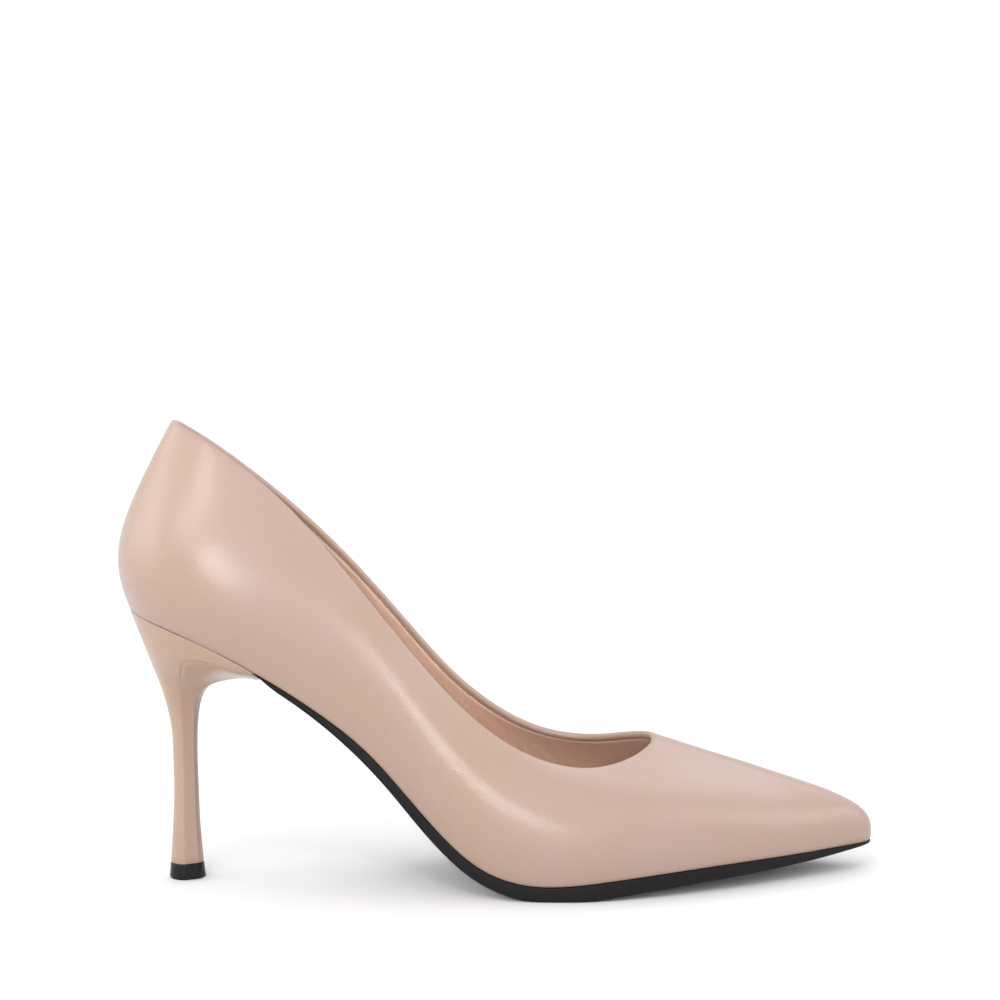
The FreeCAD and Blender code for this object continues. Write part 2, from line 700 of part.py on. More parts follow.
CUP_SHARES = cup_parameters()


def stem_point(section, share):
    """Point of a rounded D section, round behind and narrower in front."""
    z, back, front, half_width = section
    angle = math.pi * (1 - share)
    middle, reach = (back + front) / 2, (front - back) / 2
    x = middle + reach * math.cos(angle)
    y = half_width * math.sin(angle) * (1 - 0.16 * math.cos(angle))
    return V(x, y, z)


def heel_rings():
    """Half rings of the heel, back to front, from above the seat to the top of the lift."""
    rims = [V(x, y, RIM_TOP) for x, y in CUP_RIM]
    seats = [seat_point(x, y) for x, y in CUP_RIM]
    rings = [rims, seats, [V(*p) for p in CUP_LIP], [V(*p) for p in CUP_COVE]]
    for section in STEM:
        rings.append([stem_point(section, share) for share in CUP_SHARES])
    return rings


def round_curve(half_ring):
    """Curve round the heel through a half ring and its mirror image, two units to a turn.

    It runs for three turns, so that the middle one closes smoothly.
    """
    half = list(zip(CUP_SHARES, half_ring))
    turn = [(share, V(p.x, -p.y, p.z)) for share, p in half]
    turn += [(2.0 - share, p) for share, p in half[-2:0:-1]]
    places = [2.0 * i + share for i in range(3) for share, p in turn]
    return interpolated([p for i in range(3) for share, p in turn], places)


def heel_grid(inset):
    """Even grid on the heel's surface, moved inwards by the inset."""
    rings = heel_rings()
    tracks = [round_curve(ring) for ring in rings]
    levels = [0.0]
    for a, b in zip(rings, rings[1:]):
        step = sum(p.distanceToPoint(q) for p, q in zip(a, b)) / len(a)
        levels.append(levels[-1] + step)
    grid = []
    for place in spread(2.0, 4.0, HEEL_COLUMNS + 1):
        rib = interpolated([track.value(place) for track in tracks], levels)
        near = interpolated([track.value(place + 0.01) for track in tracks], levels)
        column = []
        for level in spread(0.0, levels[-1], HEEL_ROWS):
            along = near.value(level) - rib.value(level)
            down = rib.tangent(level)[0]
            inward = along.cross(down).normalize()
            inward.z = 0.0 if level in (0.0, levels[-1]) else inward.z
            column.append(rib.value(level) + inward * inset)
        grid.append(column)
    grid[-1] = grid[0]
    return grid


def heel_solid(inset):
    """Closed solid of the heel, reaching above the seat."""
    return tube_solid(heel_grid(inset))


def above_seat():
    """Everything over the seat line, to trim the heel's top."""
    span = (PROFILE_SPAN[0], 60.0)
    seat = seat_offset(-CLEAR, span)
    roof = [V(x, 0, CUTTER_TALL) for x in span]
    edges = [Part.LineSegment(roof[0], roof[1]), seat,
             Part.LineSegment(roof[0], seat.value(span[0])),
             Part.LineSegment(roof[1], seat.value(span[1]))]
    return thick_profile([edge.toShape() for edge in edges])


def dowel_hole():
    return Part.makeCylinder(DOWEL_RADIUS + 0.02, DOWEL_TOP + 0.1, V(STEM_X, 0, 0))


def heel_core():
    core = heel_solid(COVER + 0.02).cut(above_seat())
    return drilled(core, fastener_holes() + [dowel_hole()])


def heel_cover():
    """Leather wrapped round the heel, under the seat and above the top lift."""
    return heel_solid(0.0).cut(heel_solid(COVER)).cut(above_seat()).Solids[0]


def heel_dowel():
    """Steel tube that keeps the thin stem from snapping."""
    low = LIFT_HEIGHT + DOWEL_END_GAP
    tube = Part.makeCylinder(DOWEL_RADIUS, DOWEL_TOP - low, V(STEM_X, 0, low))
    return tube.cut(Part.makeCylinder(DOWEL_BORE, DOWEL_TOP, V(STEM_X, 0, 0)))


def flanged_pin(top):
    """Pin up to a height, with the flange at its lower end."""
    radius, height = PIN_FLANGE
    foot = V(STEM_X, 0, PIN_LOW)
    pin = Part.makeCylinder(PIN_RADIUS, top - PIN_LOW, foot)
    return pin.fuse(Part.makeCylinder(radius, height, foot)).removeSplitter()


def top_lift_pin():
    """Steel pin moulded into the top lift by its flange."""
    return flanged_pin(PIN_TOP)


def top_lift():
    """Hard heel tip, a little wider at the ground."""
    grid = []
    for share in spread(0.0, 2.0, LIFT_COLUMNS + 1):
        side, half_share = (1.0, share) if share <= 1.0 else (-1.0, 2.0 - share)
        column = [stem_point(section, half_share) for section in LIFT]
        grid.append([V(p.x, p.y * side, p.z) for p in column])
    grid[-1] = grid[0]
    return tube_solid(grid).cut(flanged_pin(LIFT_HEIGHT + 1.0)).Solids[0]


# ---------------------------------------------------------------- all pieces
def heel_pad():
    gap = CLEAR / 4
    return bottom_sheet(INSOLE_INSET, BOARD_HIGH + gap, lambda x: sock_floor(x) - gap,
                        x_high=PAD_END)


def pieces():
    """Every sub-part by name."""
    insole = drilled(bottom_sheet(INSOLE_INSET, INSOLE_LOW, INSOLE_HIGH),
                     fastener_holes() + rivet_holes())
    board = drilled(bottom_sheet(INSOLE_INSET, BOARD_LOW, BOARD_HIGH, x_high=BOARD_END),
                    fastener_holes())
    return {
        "upper_leather": upper_leather(),
        "topline_tape": topline_tape(),
        "back_seam_tape": back_seam_tape(),
        "heel_counter": heel_counter(),
        "toe_puff": toe_puff(),
        "interlining": interlining(),
        "vamp_lining": lining(VAMP_SEAM, TURN - VAMP_SEAM),
        "quarter_lining_lateral": lining(GRIP_REACH, VAMP_SEAM),
        "quarter_lining_medial": lining(TURN - VAMP_SEAM, TURN - GRIP_REACH),
        "heel_grip": lining(-GRIP_REACH, GRIP_REACH),
        "insole_board": insole,
        "shank_board": board,
        "steel_shank": drilled(steel_shank(), fastener_holes() + rivet_holes()),
        "shank_rivets": Part.makeCompound(shank_rivets()),
        "bottom_filler": bottom_filler(),
        "forepart_pad": bottom_sheet(INSOLE_INSET, BOARD_LOW, BOARD_HIGH, x_low=BOARD_END + 0.5),
        "heel_pad": heel_pad(),
        "sock_lining": bottom_sheet(SOCK_INSET, sock_floor, lambda x: sock_floor(x) + SOCK),
        "outsole": outsole(),
        "heel_core": heel_core(),
        "heel_cover": heel_cover(),
        "heel_dowel": heel_dowel(),
        "heel_screw": heel_screw(),
        "heel_nails": Part.makeCompound(heel_nails()),
        "top_lift": top_lift(),
        "top_lift_pin": top_lift_pin(),
    }


def main():
    os.makedirs("parts", exist_ok=True)
    for name, shape in pieces().items():
        shape.translate(SHIFT_TO_ORIGIN)
        shape.exportStep(os.path.join("parts", name + ".step"))


main()
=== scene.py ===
"""Looks of the stiletto court pump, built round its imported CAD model.

The tables and the way the upper's shell is worked out repeat the CAD source: stations go round
the shoe from the centre of the heel along the lateral side to the toe (station 17) and back
along the medial side (station 34), and at each one the wall is a conic arc from the foot edge
to the topline.  Shapes are worked out in millimetres in the CAD source's modelling frame, and
mesh_object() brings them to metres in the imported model's frame.
"""

import math

import bmesh
import bpy
import numpy as np
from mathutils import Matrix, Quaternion, Vector
from mathutils.kdtree import KDTree


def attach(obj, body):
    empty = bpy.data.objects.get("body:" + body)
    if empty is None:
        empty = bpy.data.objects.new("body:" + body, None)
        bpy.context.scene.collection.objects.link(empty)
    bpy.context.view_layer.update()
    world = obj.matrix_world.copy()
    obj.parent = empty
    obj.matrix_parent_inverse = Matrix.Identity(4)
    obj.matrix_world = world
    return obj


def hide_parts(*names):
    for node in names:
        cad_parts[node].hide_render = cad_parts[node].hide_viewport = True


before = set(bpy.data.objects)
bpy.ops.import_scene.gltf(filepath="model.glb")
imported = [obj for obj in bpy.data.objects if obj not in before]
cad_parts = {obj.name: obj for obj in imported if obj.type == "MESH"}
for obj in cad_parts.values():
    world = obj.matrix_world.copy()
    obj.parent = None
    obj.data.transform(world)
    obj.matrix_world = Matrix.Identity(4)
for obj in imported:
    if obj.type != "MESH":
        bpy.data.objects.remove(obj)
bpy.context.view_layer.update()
scene = bpy.context.scene

# ------------------------ dimensions, in millimetres
MM = 0.001
SHIFT = np.array([-122.4, 0.9, 0.0])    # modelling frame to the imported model's frame
UP = np.array([0.0, 0.0, 1.0])
SEAT_LINE = (               # side profile of the foot edge: x, height
    (-4.0, 90.6), (4.2, 88.0), (20.0, 82.9), (34.0, 76.5), (50.0, 67.0), (66.0, 55.8),
    (80.0, 43.9), (92.0, 30.6), (102.0, 19.6), (112.0, 11.0), (122.0, 6.4), (134.0, 4.7),
    (150.0, 5.6), (172.0, 7.3), (200.0, 8.3), (225.0, 8.6), (244.0, 9.0), (252.0, 9.2))

# Stations: foot x, lateral y, medial y, top x, lateral top (y, z), medial top (y, z), bulge,
# rise, fullness, lasting margin.
BACK = (4.1, 0.0, 0.0, 18.3, (0.0, 148.4), (0.0, 148.4), 7.9, 19.8, 1.88, 8.0)
SIDES = (
    (7.0, -10.5, 10.5, 19.8, (-5.2, 147.8), (5.4, 147.5), 9.1, 19.8, 1.76, 8.0),
    (14.0, -18.2, 18.0, 24.9, (-9.8, 145.5), (10.2, 144.0), 11.4, 19.9, 1.46, 8.0),
    (25.0, -23.2, 22.6, 32.8, (-14.2, 140.9), (14.8, 138.2), 13.7, 20.0, 1.13, 8.0),
    (40.0, -24.2, 22.8, 45.0, (-17.2, 132.1), (18.0, 128.5), 14.0, 22.0, 1.0, 8.0),
    (58.0, -22.2, 19.8, 59.5, (-20.0, 118.6), (20.8, 115.6), 12.5, 26.0, 1.0, 8.0),
    (77.0, -21.8, 17.4, 75.5, (-22.0, 99.6), (23.0, 99.2), 11.5, 27.0, 1.0, 8.0),
    (95.0, -25.2, 19.4, 91.5, (-24.0, 79.8), (24.8, 80.7), 12.0, 26.0, 1.0, 8.0),
    (112.5, -31.6, 25.6, 107.0, (-25.4, 62.3), (26.2, 63.1), 11.0, 25.0, 1.0, 8.0),
    (130.5, -36.2, 32.4, 122.5, (-25.9, 49.3), (26.6, 50.3), 9.5, 23.0, 1.0, 8.0),
    (149.0, -37.0, 35.4, 137.0, (-24.8, 42.2), (25.5, 43.2), 8.5, 22.0, 1.0, 8.0),
    (168.0, -33.4, 33.0, 149.5, (-21.6, 39.8), (22.2, 41.4), 7.0, 21.0, 1.05, 8.0),
    (187.0, -27.0, 27.6, 159.2, (-16.3, 40.4), (17.4, 42.6), 5.0, 19.0, 1.2, 8.0),
    (204.5, -19.6, 22.2, 165.8, (-10.4, 42.0), (12.0, 44.3), 3.5, 16.5, 1.5, 7.4),
    (220.1, -12.0, 17.0, 169.6, (-5.4, 43.6), (7.2, 45.2), 2.5, 14.0, 1.9, 6.2),
    (232.7, -4.9, 12.4, 171.0, (-2.6, 44.4), (4.6, 45.3), 1.9, 12.5, 2.4, 4.6),
    (240.8, -0.1, 8.9, 171.3, (-0.6, 44.9), (2.6, 45.3), 1.7, 12.4, 2.65, 3.4))
TIP = (243.7, 4.5, 4.5, 171.4, (1.0, 45.2), (1.0, 45.2), 1.7, 12.2, 2.75, 3.0)

LEATHER = 1.0
FLAP = 0.8                  # skived edge of the leather, folded in along the topline
FOLD_RADIUS = 1.2
FLAP_WIDTH = 2.1            # of the folded edge that shows inside, square to the topline
LINING_DEPTH = 1.9          # of the lining's hidden face under the outer surface
LINING = 0.7
LINING_GAP = 0.25           # from the end of the folded edge to the lining
GRIP_REACH = 2.6            # stations from the heel's centre to the ends of the heel grip
VAMP_SEAM = 9.2             # station where the quarter linings meet the vamp lining
SEAM_WIDTH = 0.45           # of the closed seam at the centre of the heel
SEAM_SINK = 0.28
STITCH_PITCH = 1.9
THREAD_RADIUS = 0.17
THREAD_DEPTH = 1.95         # of the stitches' middles under the outer surface

SOCK_FLOOR = 4.0            # height of the sock's hidden face over the seat, pads left out
HEEL_PAD = 1.5
HEEL_PAD_SPAN = (7.5, 62.0)
PAD_FADE = (40.0, 66.0)     # x over which the heel pad's thickness runs out
FOREPART_PAD_START = 118.6
FOREPART_PAD = (2.76, 3.9)  # heights of its faces over the seat
PAD_INSETS = (3.4, 3.2)     # from the foot edge to the heel pad's and forepart pad's edges
PAD_GAP = 0.03              # from the heel pad up to the sock
SOCK = 0.8
SOCK_START = 4.2
CLEAR = 0.04                # clearance between pieces that are glued face to face
SOLE_TAPER = (43.9, 50.5)   # the outsole's tail thickens between these two x
SOLE_WAIST = ((43.0, 70.3), (52.2, 63.6), (60.9, 57.0), (69.0, 50.1), (78.6, 40.8), (87.0, 31.5),
              (95.0, 21.9), (103.2, 13.2), (112.0, 6.2), (121.2, 1.9))
TREAD_SPAN = (131.5, 146.0)
SOLE_TOE = ((155.0, 0.7), (165.0, 1.8), (184.0, 3.2), (204.0, 4.3), (218.0, 5.3), (232.0, 6.5),
            (244.0, 8.0), (252.0, 8.6))

COVER = 0.6                 # leather cover of the heel
LIFT_HEIGHT = 5.2
STEM = (                    # stem sections: height, back x, front x, half width
    (62.5, 13.4, 28.8, 8.6), (56.0, 15.2, 25.8, 5.6), (49.0, 16.5, 25.0, 4.3),
    (40.0, 16.9, 24.8, 3.8), (30.0, 17.05, 25.0, 3.75), (18.0, 16.6, 25.35, 4.1),
    (LIFT_HEIGHT, 15.75, 26.35, 4.9))
RIM_TOP = 96.0              # height to which the heel's rim is drawn
# Rings of the heel's cup, half a turn each from the back to the middle of the breast.
CUP_RIM = ((3.9, 0.0), (8.8, 13.2), (20.0, 21.6), (33.0, 24.2), (42.6, 24.0), (45.1, 21.6),
           (45.3, 11.0), (45.3, 0.0))
CUP_LIP = ((7.5, 0.0, 78.5), (11.8, 12.4, 77.2), (21.0, 19.4, 75.2), (32.5, 22.0, 73.0),
           (42.0, 21.8, 69.6), (44.2, 19.8, 68.6), (45.2, 10.5, 66.0), (45.3, 0.0, 64.8))
CUP_COVE = ((10.6, 0.0, 70.0), (13.8, 9.0, 69.2), (20.5, 13.2, 68.4), (27.0, 13.0, 67.8),
            (32.5, 10.6, 67.0), (34.6, 9.0, 66.6), (37.0, 4.6, 65.5), (37.5, 0.0, 65.1))
LIFT = ((0.0, 15.2, 27.0, 5.3), (2.4, 15.45, 26.65, 5.1), (5.17, 15.7, 26.4, 4.95))
LIFT_PROFILE = (            # down the side of the top lift: height, how far in from its sections
    (5.17, 1.6), (5.17, 0.5), (5.1, 0.22), (4.95, 0.06), (4.6, 0.0), (3.6, 0.0), (2.4, 0.0),
    (1.2, 0.0), (0.7, 0.0), (0.35, 0.07), (0.12, 0.22), (0.0, 0.55), (0.0, 1.6))
LIFT_EDGES = (0.36, 0.86)   # shares of its half ring at which its flat facets begin


# ------------------------ curves
class Curve:
    """Natural cubic curve through values, numbers or points, at rising places."""

    def __init__(self, places, values):
        self.places = np.array(places, float)
        self.values = np.array(values, float)
        count, gaps = len(self.places), np.diff(self.places)
        wide = gaps.reshape((-1,) + (1,) * (self.values.ndim - 1))
        slopes = np.diff(self.values, axis=0) / wide
        matrix, right = np.eye(count), np.zeros_like(self.values)
        for i in range(1, count - 1):
            matrix[i, i - 1:i + 2] = gaps[i - 1], 2 * (gaps[i - 1] + gaps[i]), gaps[i]
            right[i] = 6 * (slopes[i] - slopes[i - 1])
        flat = np.linalg.solve(matrix, right.reshape(count, -1))
        self.bends = flat.reshape(self.values.shape)

    def __call__(self, at):
        at = np.asarray(at, float)
        i = np.clip(np.searchsorted(self.places, at) - 1, 0, len(self.places) - 2)
        gap = self.places[i + 1] - self.places[i]
        b = (at - self.places[i]) / gap
        parts = [1 - b, b, ((1 - b) ** 3 - (1 - b)) * gap * gap / 6, (b ** 3 - b) * gap * gap / 6]
        parts = [p.reshape(p.shape + (1,) * (self.values.ndim - 1)) for p in parts]
        return (parts[0] * self.values[i] + parts[1] * self.values[i + 1]
                + parts[2] * self.bends[i] + parts[3] * self.bends[i + 1])


def unit(vectors):
    return vectors / np.linalg.norm(vectors, axis=-1, keepdims=True)


def smooth_step(low, high, value):
    share = np.clip((value - low) / (high - low), 0.0, 1.0)
    return share * share * (3 - 2 * share)


def hump(distance, reach):
    """Bell of height 1 that has died out at about twice its reach."""
    return np.exp(-(distance / reach) ** 2)


def travelled(points):
    """Distance along a line of points from its start to each of them."""
    steps = np.linalg.norm(np.diff(points, axis=0), axis=-1)
    return np.concatenate([[0.0], np.cumsum(steps)])


def level(value):
    """Height or radius that is the same at every x."""
    return lambda x: np.full_like(x, value)


# ------------------------ side profiles of the bottom
SEAT = Curve(*zip(*SEAT_LINE))


def seat_normal(x):
    step = 0.05
    slope = (SEAT(x + step) - SEAT(x - step)) / (2 * step)
    return unit(np.stack([-slope, np.zeros_like(slope), np.ones_like(slope)], -1))


def side_profile(height):
    """Height over x of the curve that runs at height(x) square to the seat line."""
    x = np.linspace(-4.0, 251.0, 900)
    normal = seat_normal(x)
    rise = height(x)
    across, upwards = x + normal[:, 0] * rise, SEAT(x) + normal[:, 2] * rise
    return lambda at: np.interp(at, across, upwards)


def sock_floor(x):
    fade = np.clip((x - PAD_FADE[0]) / (PAD_FADE[1] - PAD_FADE[0]), 0.0, 1.0)
    return SOCK_FLOOR + HEEL_PAD * (0.5 + 0.5 * np.cos(np.pi * fade))


# Each curve of the underside has one more point, which eases it into the tread.
WAIST_CURVE = Curve(*zip(*(SOLE_WAIST + ((127.0, 0.35), (TREAD_SPAN[0], 0.0)))))
TOE_CURVE = Curve(*zip(*(((TREAD_SPAN[1], 0.0), (149.5, 0.16)) + SOLE_TOE)))


def underside(x):
    """Height of the outsole's underside: waist, flat tread, toe spring."""
    low = np.where(x < TREAD_SPAN[0], WAIST_CURVE(x), np.where(x > TREAD_SPAN[1], TOE_CURVE(x), 0))
    return np.maximum(low, 0.0)


# ------------------------ the shell of the upper
def ring_of_stations():
    """Foot (x, y, margin), top (x, y, z) and form (bulge, rise, fullness) round the shoe."""
    # Each station comes with the places in it of its side's foot y and top.
    ring = [(row, 1, 4) for row in (BACK,) + SIDES + (TIP,)] + [(row, 2, 5) for row in SIDES[::-1]]
    foot = np.array([(row[0], row[y], row[9]) for row, y, top in ring])
    tops = np.array([(row[3],) + row[top] for row, y, top in ring])
    return foot, tops, np.array([row[6:9] for row, y, top in ring])


FOOT_ROWS, TOP_ROWS, FORM_ROWS = ring_of_stations()
TURN = len(FOOT_ROWS)
TOE = len(SIDES) + 1
WRAP = 4                    # stations by which the curves run past both ends of the turn


def closed_rail(rows):
    order = np.arange(-WRAP, TURN + WRAP + 1)
    return Curve(order, rows[order % TURN])


FOOT, TOP, FORM = (closed_rail(rows) for rows in (FOOT_ROWS, TOP_ROWS, FORM_ROWS))


def outward(u):
    """Unit vectors square to the foot edge in plan, out of the shoe."""
    step = 0.02
    along = FOOT(u % TURN + step) - FOOT(u % TURN - step)
    return unit(np.stack([along[:, 1], -along[:, 0], np.zeros(len(u))], -1))


def foot_edge(u, inset=0.0):
    """Points of the foot edge, moved inwards in plan, on the seat surface."""
    place = FOOT(u % TURN)
    plan = place[:, :2] - outward(u)[:, :2] * np.asarray(inset).reshape(-1, 1)
    return np.column_stack([plan, SEAT(plan[:, 0])])


class Wall:
    """The outer surface along some stations, as conic arcs from foot edge to topline."""
    SHARES = np.linspace(0.0, 1.0, 241)

    def __init__(self, u):
        form = FORM(u % TURN)
        self.foot, self.top = foot_edge(u), TOP(u % TURN)
        self.corner = self.foot + outward(u) * form[:, :1] + UP * form[:, 1:2]
        self.weight = form[:, 2:3]
        arcs = self.at(np.broadcast_to(self.SHARES, (len(u), len(self.SHARES))))
        steps = np.linalg.norm(np.diff(arcs, axis=1), axis=-1)
        self.lengths = np.concatenate([np.zeros((len(u), 1)), np.cumsum(steps, axis=1)], axis=1)
        self.length = self.lengths[:, -1:]

    def at(self, t):
        a, b, c = (1 - t) ** 2, 2 * self.weight * t * (1 - t), t * t
        total = a + b + c
        a, b, c = (part[..., None] / total[..., None] for part in (a, b, c))
        return self.foot[:, None] * a + self.corner[:, None] * b + self.top[:, None] * c

    def parameter(self, distance):
        return np.array([np.interp(d, table, self.SHARES)
                         for d, table in zip(distance, self.lengths)])

    def rows(self, low, high, count):
        """Distances from the foot edge, closer together where the wall bends."""
        table = 0.5 * self.lengths / self.length + 0.5 * self.SHARES
        made = []
        for i in range(len(self.lengths)):
            ends = np.interp([low[i, 0], high[i, 0]], self.lengths[i], table[i])
            wanted = np.linspace(ends[0], ends[1], count)
            made.append(np.interp(wanted, table[i], self.lengths[i]))
        return np.array(made)


class Shell:
    """The upper's shell along some stations: points at any depth under the outer surface."""
    STEP_U, STEP_T = 0.01, 0.002

    def __init__(self, u):
        self.u = np.asarray(u, float)
        self.wall = Wall(self.u)
        self.before, self.after = Wall(self.u - self.STEP_U), Wall(self.u + self.STEP_U)
        self.length = self.wall.length
        self.pace = self.spacing()

    def spacing(self):
        """Millimetres per station halfway up the wall."""
        half = np.full((len(self.u), 1), 0.5)
        return np.linalg.norm(self.after.at(half) - self.before.at(half), axis=-1) / (
            2 * self.STEP_U)

    def directions(self, distance):
        """Point on the outer surface, unit inward and unit rising vectors."""
        t = self.wall.parameter(distance)
        rising = self.wall.at(t + self.STEP_T) - self.wall.at(t - self.STEP_T)
        inward = unit(np.cross(rising, self.after.at(t) - self.before.at(t)))
        return self.wall.at(t), inward, unit(rising)

    def points(self, distance, depth):
        place, inward, rising = self.directions(distance)
        return place + inward * np.broadcast_to(depth, distance.shape)[..., None]

    def column(self, value):
        return np.full((len(self.u), 1), float(value))


def topline_travel(u):
    """Millimetres along the topline from the centre of the heel."""
    fine = np.linspace(-WRAP, TURN + WRAP, 8000)
    travel = travelled(TOP(fine % TURN))
    return np.interp(u, fine, travel) - np.interp(0.0, fine, travel)


TOPLINE = float(topline_travel(TURN))
STITCHES = round(TOPLINE / STITCH_PITCH)


def stitch_turn(shell):
    """Angle that makes one turn per stitch along the topline."""
    return 2 * np.pi * STITCHES * topline_travel(shell.u)[:, None] / TOPLINE


# ------------------------ meshes
WELD = 0.002 * MM           # points closer than this are one point


def add_object(name, data):
    made = bpy.data.objects.new(name, data)
    scene.collection.objects.link(made)
    return made


def mesh_object(name, points, faces):
    """Mesh from points in millimetres, welded where they coincide, its faces turned outwards."""
    mesh = bpy.data.meshes.new(name)
    mesh.from_pydata(((points + SHIFT) * MM).tolist(), [], faces)
    work = bmesh.new()
    work.from_mesh(mesh)
    bmesh.ops.remove_doubles(work, verts=work.verts, dist=WELD)
    bmesh.ops.dissolve_degenerate(work, edges=work.edges, dist=WELD)
    bmesh.ops.recalc_face_normals(work, faces=work.faces)
    for face in work.faces:
        face.smooth = True
    work.to_mesh(mesh)
    work.free()
    return add_object(name, mesh)


def tube_faces(columns, ring, closed):
    """Quads between rings of points.

    Where the rings don't lead back to the first, each end ring is filled by joining its first
    half to its second half.
    """
    corner = np.arange(columns * ring).reshape(columns, ring)
    ahead = np.roll(corner, -1, axis=0) if closed else corner[1:]
    here = corner if closed else corner[:-1]
    quads = [np.stack([here, ahead, np.roll(ahead, -1, 1), np.roll(here, -1, 1)], -1).reshape(-1, 4)]
    if not closed:
        k = np.arange(ring // 2 - 1)
        fill = np.stack([k, k + 1, ring - 2 - k, ring - 1 - k], -1)
        quads += [corner[0][fill], corner[-1][fill[:, ::-1]]]
    return np.concatenate(quads)


def solid_mesh(name, points, closed, crease_degrees=50.0):
    """Closed quad mesh from columns of points, each column a closed ring."""
    faces = tube_faces(*points.shape[:2], closed)
    made = mesh_object(name, points.reshape(-1, 3), faces.tolist())
    made.data.set_sharp_from_angle(angle=math.radians(crease_degrees))
    return made


def store(piece, name, value_at):
    """Keeps a number per vertex, worked out from the vertex's place in millimetres."""
    places = np.array([vertex.co for vertex in piece.data.vertices]) / MM - SHIFT
    values = piece.data.attributes.new(name, "FLOAT", "POINT")
    values.data.foreach_set("value", np.asarray(value_at(places), np.float32))


def settle(piece, slot_name, *nodes, material=None):
    """Gives a finished piece its material, picked by slot name, and its body, and hides the nodes it
    stands for.
    """
    piece.data.materials.append(material or SLOT_FINISH[slot_name])
    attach(piece, "root")
    if nodes:
        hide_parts(*nodes)


# ------------------------ the upper
COLUMNS_PER_STATION = 12
SEAM_COLUMNS = np.array([0.02, 0.04, 0.06, 0.09, 0.13])     # stations beside the heel's seam
SEAM_REACH = 0.15           # stations over which only those are used
MOST_SLANT = 0.6            # largest squared slant of wall to topline that the flap allows for
MARGIN_SHARES = (1.0, 0.7, 0.4, 0.2, 0.08)      # rows of the turned-in margin, from its edge
FOOT_ROUNDING = (           # rows where the wall leaves the foot edge: distance, depth
    (0.12, 0.3), (0.3, 0.13), (0.6, 0.04), (1.0, 0.0))
WALL_START = 1.4            # distance from the foot edge at which the wall's own rows start
WALL_ROWS, INNER_ROWS = 48, 16
FLAP_FACE = (               # rows down the folded edge below the fold: share of the way, depth
    (0.2, 2.42), (0.45, 2.42), (0.65, 2.4), (0.82, 2.34), (0.94, 2.2), (1.0, 1.95))


def flap_drop(shell):
    """How far down the wall the folded edge reaches: more where the wall meets it at a slant."""
    rising = shell.directions(shell.length - FOLD_RADIUS)[2]
    along = unit(shell.after.top - shell.before.top)
    slant = np.sum(rising[:, 0] * along, axis=-1, keepdims=True)
    return FLAP_WIDTH / np.sqrt(1 - np.minimum(slant * slant, MOST_SLANT))


def last_waves(shell, rows):
    """Faint waves that the last leaves in the leather, calm near the foot edge and topline."""
    turn = 2 * np.pi * shell.u[:, None] / TURN
    waves = (0.05 * np.sin(5 * turn + rows * 0.09) * np.sin(rows * 0.13 + 7 * turn)
             + 0.03 * np.sin(11 * turn - rows * 0.21))
    return waves * (smooth_step(0.0, 8.0, rows) * smooth_step(0.0, 8.0, shell.length - rows))


def topline_fold(shell, seam):
    """Rows over the folded topline, down its flap, up the flap's back and over the slot."""
    base, inward, rising = shell.directions(shell.length - FOLD_RADIUS)
    radius = FOLD_RADIUS - 0.4 * seam[..., None]
    over = np.linspace(0.0, np.pi, 11)[1:, None]
    roll = (base + inward * (FOLD_RADIUS - radius * np.cos(over))
            + rising * (radius * np.sin(over)))
    reach = flap_drop(shell) - FOLD_RADIUS
    shares, depths = np.transpose(FLAP_FACE)
    pulled = 0.03 * np.cos(stitch_turn(shell))
    face = shell.points(shell.length - (FOLD_RADIUS + reach * shares), depths + pulled)
    back_shares = np.array([1.0, 0.5, 0.0])
    back = shell.points(shell.length - (FOLD_RADIUS + reach * back_shares), 2 * FOLD_RADIUS - FLAP)
    slot = (2 * FOLD_RADIUS - FLAP - LEATHER) / 2
    under = np.linspace(np.pi, 0.0, 5)[1:-1, None]
    inner_roll = (base + inward * (LEATHER + slot - slot * np.cos(under))
                  + rising * (slot * np.sin(under)))
    return [roll, face, back, inner_roll]


def upper_shape():
    """Whole upper as one closed skin: turned-in margin, wall, folded topline, hidden side."""
    even = np.arange(0.0, TURN, 1 / COLUMNS_PER_STATION)
    even = even[(even > SEAM_REACH) & (even < TURN - SEAM_REACH)]
    shell = Shell(np.concatenate([[0.0], SEAM_COLUMNS, even, TURN - SEAM_COLUMNS[::-1]]))
    u = shell.u[:, None]
    seam = SEAM_SINK * hump(np.minimum(u, TURN - u) * shell.pace, SEAM_WIDTH)
    margin = FOOT(shell.u)[:, 2]
    under = [foot_edge(shell.u, margin * share) for share in MARGIN_SHARES]
    low, depth = (np.array(values) + 0 * u for values in zip(*FOOT_ROUNDING))
    top = shell.length - FOLD_RADIUS
    rows = shell.wall.rows(shell.column(WALL_START), top, WALL_ROWS)
    outer = [shell.points(low, depth + seam), shell.points(rows, last_waves(shell, rows) + seam)]
    inner_rows = shell.wall.rows(shell.column(LEATHER), top, INNER_ROWS)[:, ::-1]
    inner = shell.points(inner_rows, LEATHER)
    over = [foot_edge(shell.u, margin * share) for share in (0.3, 0.65, 1.0)]
    over = [place + seat_normal(place[:, 0]) * LEATHER for place in over]
    rings = [np.stack(under, 1)] + outer + topline_fold(shell, seam) + [inner, np.stack(over, 1)]
    return solid_mesh("upper_leather_skin", np.concatenate(rings, axis=1), closed=True)


